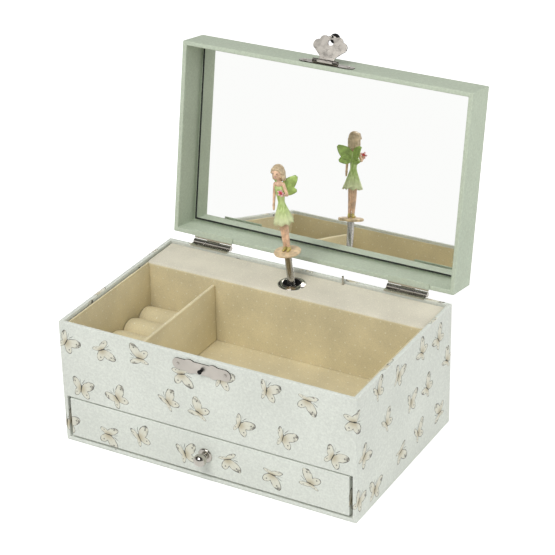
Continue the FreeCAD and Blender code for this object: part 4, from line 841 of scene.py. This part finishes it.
cast("figure_shoes", "shoe", [
    ((-1.5, 0.3, 1.2), (-1.8, -2.8, 0.85), 1.3, 0.85), ((1.5, 0.3, 1.2), (1.8, -2.8, 0.85), 1.3, 0.85),
    ((-1.5, 0.2, 1.0), (-1.5, 0, 3.0), 1.3, 1.25), ((1.5, 0.2, 1.0), (1.5, 0, 3.0), 1.3, 1.25)], 0.25, 2)
for word, side in (("left", -1), ("right", 1)):
    cast(f"figure_{word}_eye", "ink",
         [((side * 1.35, -4.25, 60.4), (side * 1.85, -4.05, 60.4), 0.3, 0.28)], 0.12, 1)
cast("figure_mouth", "petal", [((-0.5, -4.45, 57.9), (0.5, -4.45, 57.9), 0.3, 0.3)], 0.12, 1)
cast("figure_flower", "bloom", [((4.6, -6.9, 47.6), (4.6, -7.1, 48.3), 1.25, 1.0)], 0.2, 1)
petals = []
for angle in range(0, 360, 72):
    across, up = math.cos(math.radians(angle)), math.sin(math.radians(angle))
    petals.append(((4.6 + 1.7 * across, -6.9, 47.3 + 1.7 * up), (4.6 + 2.1 * across, -7.3, 47.4 + 2.1 * up),
                   0.85, 0.7))
cast("figure_petals", "petal", petals, 0.2, 1)

# Dress: a close bodice and a short skirt that falls in soft flutes to an uneven hem.
# It is moulded with the figure, painted leaf green in upright strokes, and paler at the hem.
WAIST = 37.6
SKIRT = 17.4
FLUTES = 8
DRESS_WALL = 0.45
DRESS_OUTLINE = [(3.35, 50.2), (3.55, 47.6), (3.2, 43.5), (2.6, 39.4), (2.45, WAIST), (2.9, 35.6),
                 (4.0, 32.3), (5.2, 28.6), (6.3, 25.0), (7.2, 22.2)]
dress = bmesh.new()
hems = [dress.verts.new((radius * MM, 0, height * MM)) for radius, height in DRESS_OUTLINE]
seams = [dress.edges.new(pair) for pair in zip(hems, hems[1:])]
bmesh.ops.spin(dress, geom=hems + seams, cent=(0, 0, 0), axis=(0, 0, 1), angle=math.tau, steps=64,
               use_merge=True)
bmesh.ops.recalc_face_normals(dress, faces=dress.faces)
for vert in dress.verts:
    flare = max(0.0, (WAIST - vert.co.z / MM) / SKIRT)
    angle = math.atan2(vert.co.y, vert.co.x)
    stretch = 1 + 0.11 * flare * math.sin(FLUTES * angle + 0.6)
    vert.co.x *= stretch
    vert.co.y *= stretch * (1 - 0.12 * (1 - flare))
    vert.co.z += 0.9 * MM * flare ** 2 * math.sin(FLUTES * angle + 2.0)
bmesh.ops.transform(dress, matrix=FIGURE, verts=dress.verts)
gown_paint, tree, shader = start_material("gown_enamel", Coat_Weight=0.1, Coat_Roughness=0.25)
spot = node(tree, "ShaderNodeTexCoord")
drawn = node(tree, "ShaderNodeMapping", {"Vector": spot.outputs["Object"], "Scale": (1, 1, 0.12)})
streak = node(tree, "ShaderNodeTexNoise", {"Vector": drawn.outputs[0], "Scale": 900, "Detail": 3})
height = node(tree, "ShaderNodeSeparateXYZ", {0: spot.outputs["Object"]}).outputs[2]
hem_share = ramp(tree, calc(tree, "MULTIPLY_ADD", streak.outputs[0], 0.006, height), 0.137, 0.15, 1.0, 0.0)
leafy = blended(tree, ramp(tree, streak.outputs[0], 0.35, 0.65), (0.34, 0.48, 0.12, 1), (0.58, 0.70, 0.30, 1))
tree.links.new(blended(tree, calc(tree, "MULTIPLY", hem_share, 0.85), leafy, (0.76, 0.78, 0.50, 1)),
               shader.inputs["Base Color"])
tree.links.new(ramp(tree, streak.outputs[0], 0.3, 0.7, 0.35, 0.55), shader.inputs["Roughness"])
emboss(tree, shader, streak.outputs[0], 0.3, 0.15)
gown = piece_of("figure_dress", dress, "figure", "figure_enamel", gown_paint)
smooth(gown)
wall = gown.modifiers.new("wall", "SOLIDIFY")
wall.thickness = DRESS_WALL * MM
wall.offset = -1

# Wings: two pairs of thin moulded lobes, swept back from between the shoulders.
# Each lobe is dished and has raised veins that fan from its root.
WING_LOBES = ((4.6, 13.8, 40), (3.8, 9.5, -14))
WING_ROOT = (0.8, 2.9, 45.5)
WING_SWEEP = 38
WING_WALL = 0.55


def wing_lobe(shape, side, half, length, rise):
    """One lobe as a dished leaf, from its root outwards."""
    leaf = bmesh.new()
    bmesh.ops.create_grid(leaf, x_segments=14, y_segments=10, size=1)
    for vert in leaf.verts:
        along, across = (vert.co.x + 1) / 2, vert.co.y
        width = half * math.sin(math.pi * (0.07 + 0.9 * along ** 0.8)) ** 0.75
        vein = 0.16 * math.cos(across * math.pi * 3.5) * math.sin(math.pi * along)
        vert.co = Vector((along * length, across * width, 1.1 * (1 - across ** 2) * along + vein)) * MM
    turn = (Matrix.Scale(side, 4, (1, 0, 0)) @ Matrix.Translation(Vector(WING_ROOT) * MM)
            @ Matrix.Rotation(math.radians(WING_SWEEP), 4, "Z") @ Matrix.Rotation(math.radians(-rise), 4, "Y")
            @ Matrix.Rotation(math.radians(90), 4, "X"))
    bmesh.ops.transform(leaf, matrix=turn, verts=leaf.verts)
    mesh = bpy.data.meshes.new("lobe")
    leaf.to_mesh(mesh)
    leaf.free()
    shape.from_mesh(mesh)
    bpy.data.meshes.remove(mesh)


wings = bmesh.new()
for side in (-1, 1):
    for half, length, rise in WING_LOBES:
        wing_lobe(wings, side, half, length, rise)
bmesh.ops.transform(wings, matrix=FIGURE, verts=wings.verts)
wing_piece = piece_of("figure_wings", wings, "figure", "wing_enamel", enamel["wing"])
smooth(wing_piece)
thick = wing_piece.modifiers.new("thickness", "SOLIDIFY")
thick.thickness = WING_WALL * MM
thick.offset = 0
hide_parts("figurine_wings")

# Stage: a white floor, an even white surround, a large soft lamp above the front and a fill at the right.
# In reflections the surround darkens upwards, as under a studio ceiling.
floor_mesh = bpy.data.meshes.new("floor")
ground = bmesh.new()
bmesh.ops.create_grid(ground, x_segments=1, y_segments=1, size=6)
bmesh.ops.translate(ground, vec=(0, 0, -0.0002), verts=ground.verts)
ground.to_mesh(floor_mesh)
ground.free()
stage_floor = bpy.data.objects.new("stage_floor", floor_mesh)
bpy.context.scene.collection.objects.link(stage_floor)
white, tree, shader = start_material("white_floor", Base_Color=(0.86, 0.86, 0.86, 1), Roughness=0.9,
                                     Specular_IOR_Level=0.1)
rays = node(tree, "ShaderNodeLightPath")
mirrored = calc(tree, "MAXIMUM", rays.outputs["Is Glossy Ray"], rays.outputs["Is Transmission Ray"])
shader.inputs["Emission Color"].default_value = (1, 1, 1, 1)
tree.links.new(calc(tree, "MULTIPLY", rays.outputs["Is Camera Ray"], 0.6), shader.inputs["Emission Strength"])
plain_white = node(tree, "ShaderNodeEmission", {"Color": (1, 1, 1, 1), "Strength": 1.0})
either = node(tree, "ShaderNodeMixShader", {0: mirrored, 1: shader.outputs[0], 2: plain_white.outputs[0]})
tree.links.new(either.outputs[0], tree.nodes["Material Output"].inputs["Surface"])
floor_mesh.materials.append(white)

world = bpy.data.worlds.new("surround")
bpy.context.scene.world = world
world.use_nodes = True
tree = world.node_tree
rays = node(tree, "ShaderNodeLightPath")
seen = calc(tree, "MAXIMUM", rays.outputs["Is Camera Ray"],
            calc(tree, "MAXIMUM", rays.outputs["Is Glossy Ray"], rays.outputs["Is Transmission Ray"]))
back = tree.nodes["Background"]
back.inputs["Color"].default_value = (1, 1, 1, 1)
sky = node(tree, "ShaderNodeTexCoord")
height = node(tree, "ShaderNodeSeparateXYZ", {0: sky.outputs["Generated"]}).outputs[2]
ceiling = ramp(tree, height, 0.12, 0.42, 1.0, 0.1)
polished = calc(tree, "SUBTRACT", seen, rays.outputs["Is Camera Ray"])
bright = calc(tree, "MULTIPLY_ADD", polished, calc(tree, "SUBTRACT", ceiling, 1.0), 1.0)
surround_light = 0.5
seen_light = calc(tree, "MULTIPLY", seen, calc(tree, "SUBTRACT", bright, surround_light))
tree.links.new(calc(tree, "ADD", seen_light, surround_light), back.inputs["Strength"])


def lamp(name, place, target, size, power):
    """A soft square lamp that points at a place, in metres."""
    light = bpy.data.lights.new(name, "AREA")
    light.size = size
    light.energy = power
    holder = bpy.data.objects.new(name, light)
    bpy.context.scene.collection.objects.link(holder)
    aim = Vector(target) - Vector(place)
    holder.matrix_world = Matrix.Translation(place) @ aim.to_track_quat("-Z", "Y").to_matrix().to_4x4()


lamp("key_lamp", (0.0, -1.2, 1.6), (0, 0, 0.08), 0.9, 20)
lamp("fill_lamp", (1.5, 0.4, 0.55), (0, 0, 0.05), 0.8, 6.5)

# Camera at the photograph's place.
CAMERA_PLACE = Vector((580.4, -990.7, 707.3)) * MM
CAMERA_AIM = Vector((16.923, 0, 120.756)) * MM
CAMERA_ROLL = math.radians(-1.177)
lens = bpy.data.cameras.new("camera")
lens.lens = 128.06
lens.sensor_width = 36
lens.clip_end = 20
camera = bpy.data.objects.new("camera", lens)
bpy.context.scene.collection.objects.link(camera)
look = (CAMERA_AIM - CAMERA_PLACE).normalized()
right = look.cross(Vector((0, 0, 1))).normalized()
above = right.cross(look)
right, above = (right * math.cos(CAMERA_ROLL) + above * math.sin(CAMERA_ROLL),
                above * math.cos(CAMERA_ROLL) - right * math.sin(CAMERA_ROLL))
camera.matrix_world = Matrix.Translation(CAMERA_PLACE) @ Matrix((right, above, -look)).transposed().to_4x4()
bpy.context.scene.camera = camera
bpy.context.scene.view_settings.view_transform = "Standard"
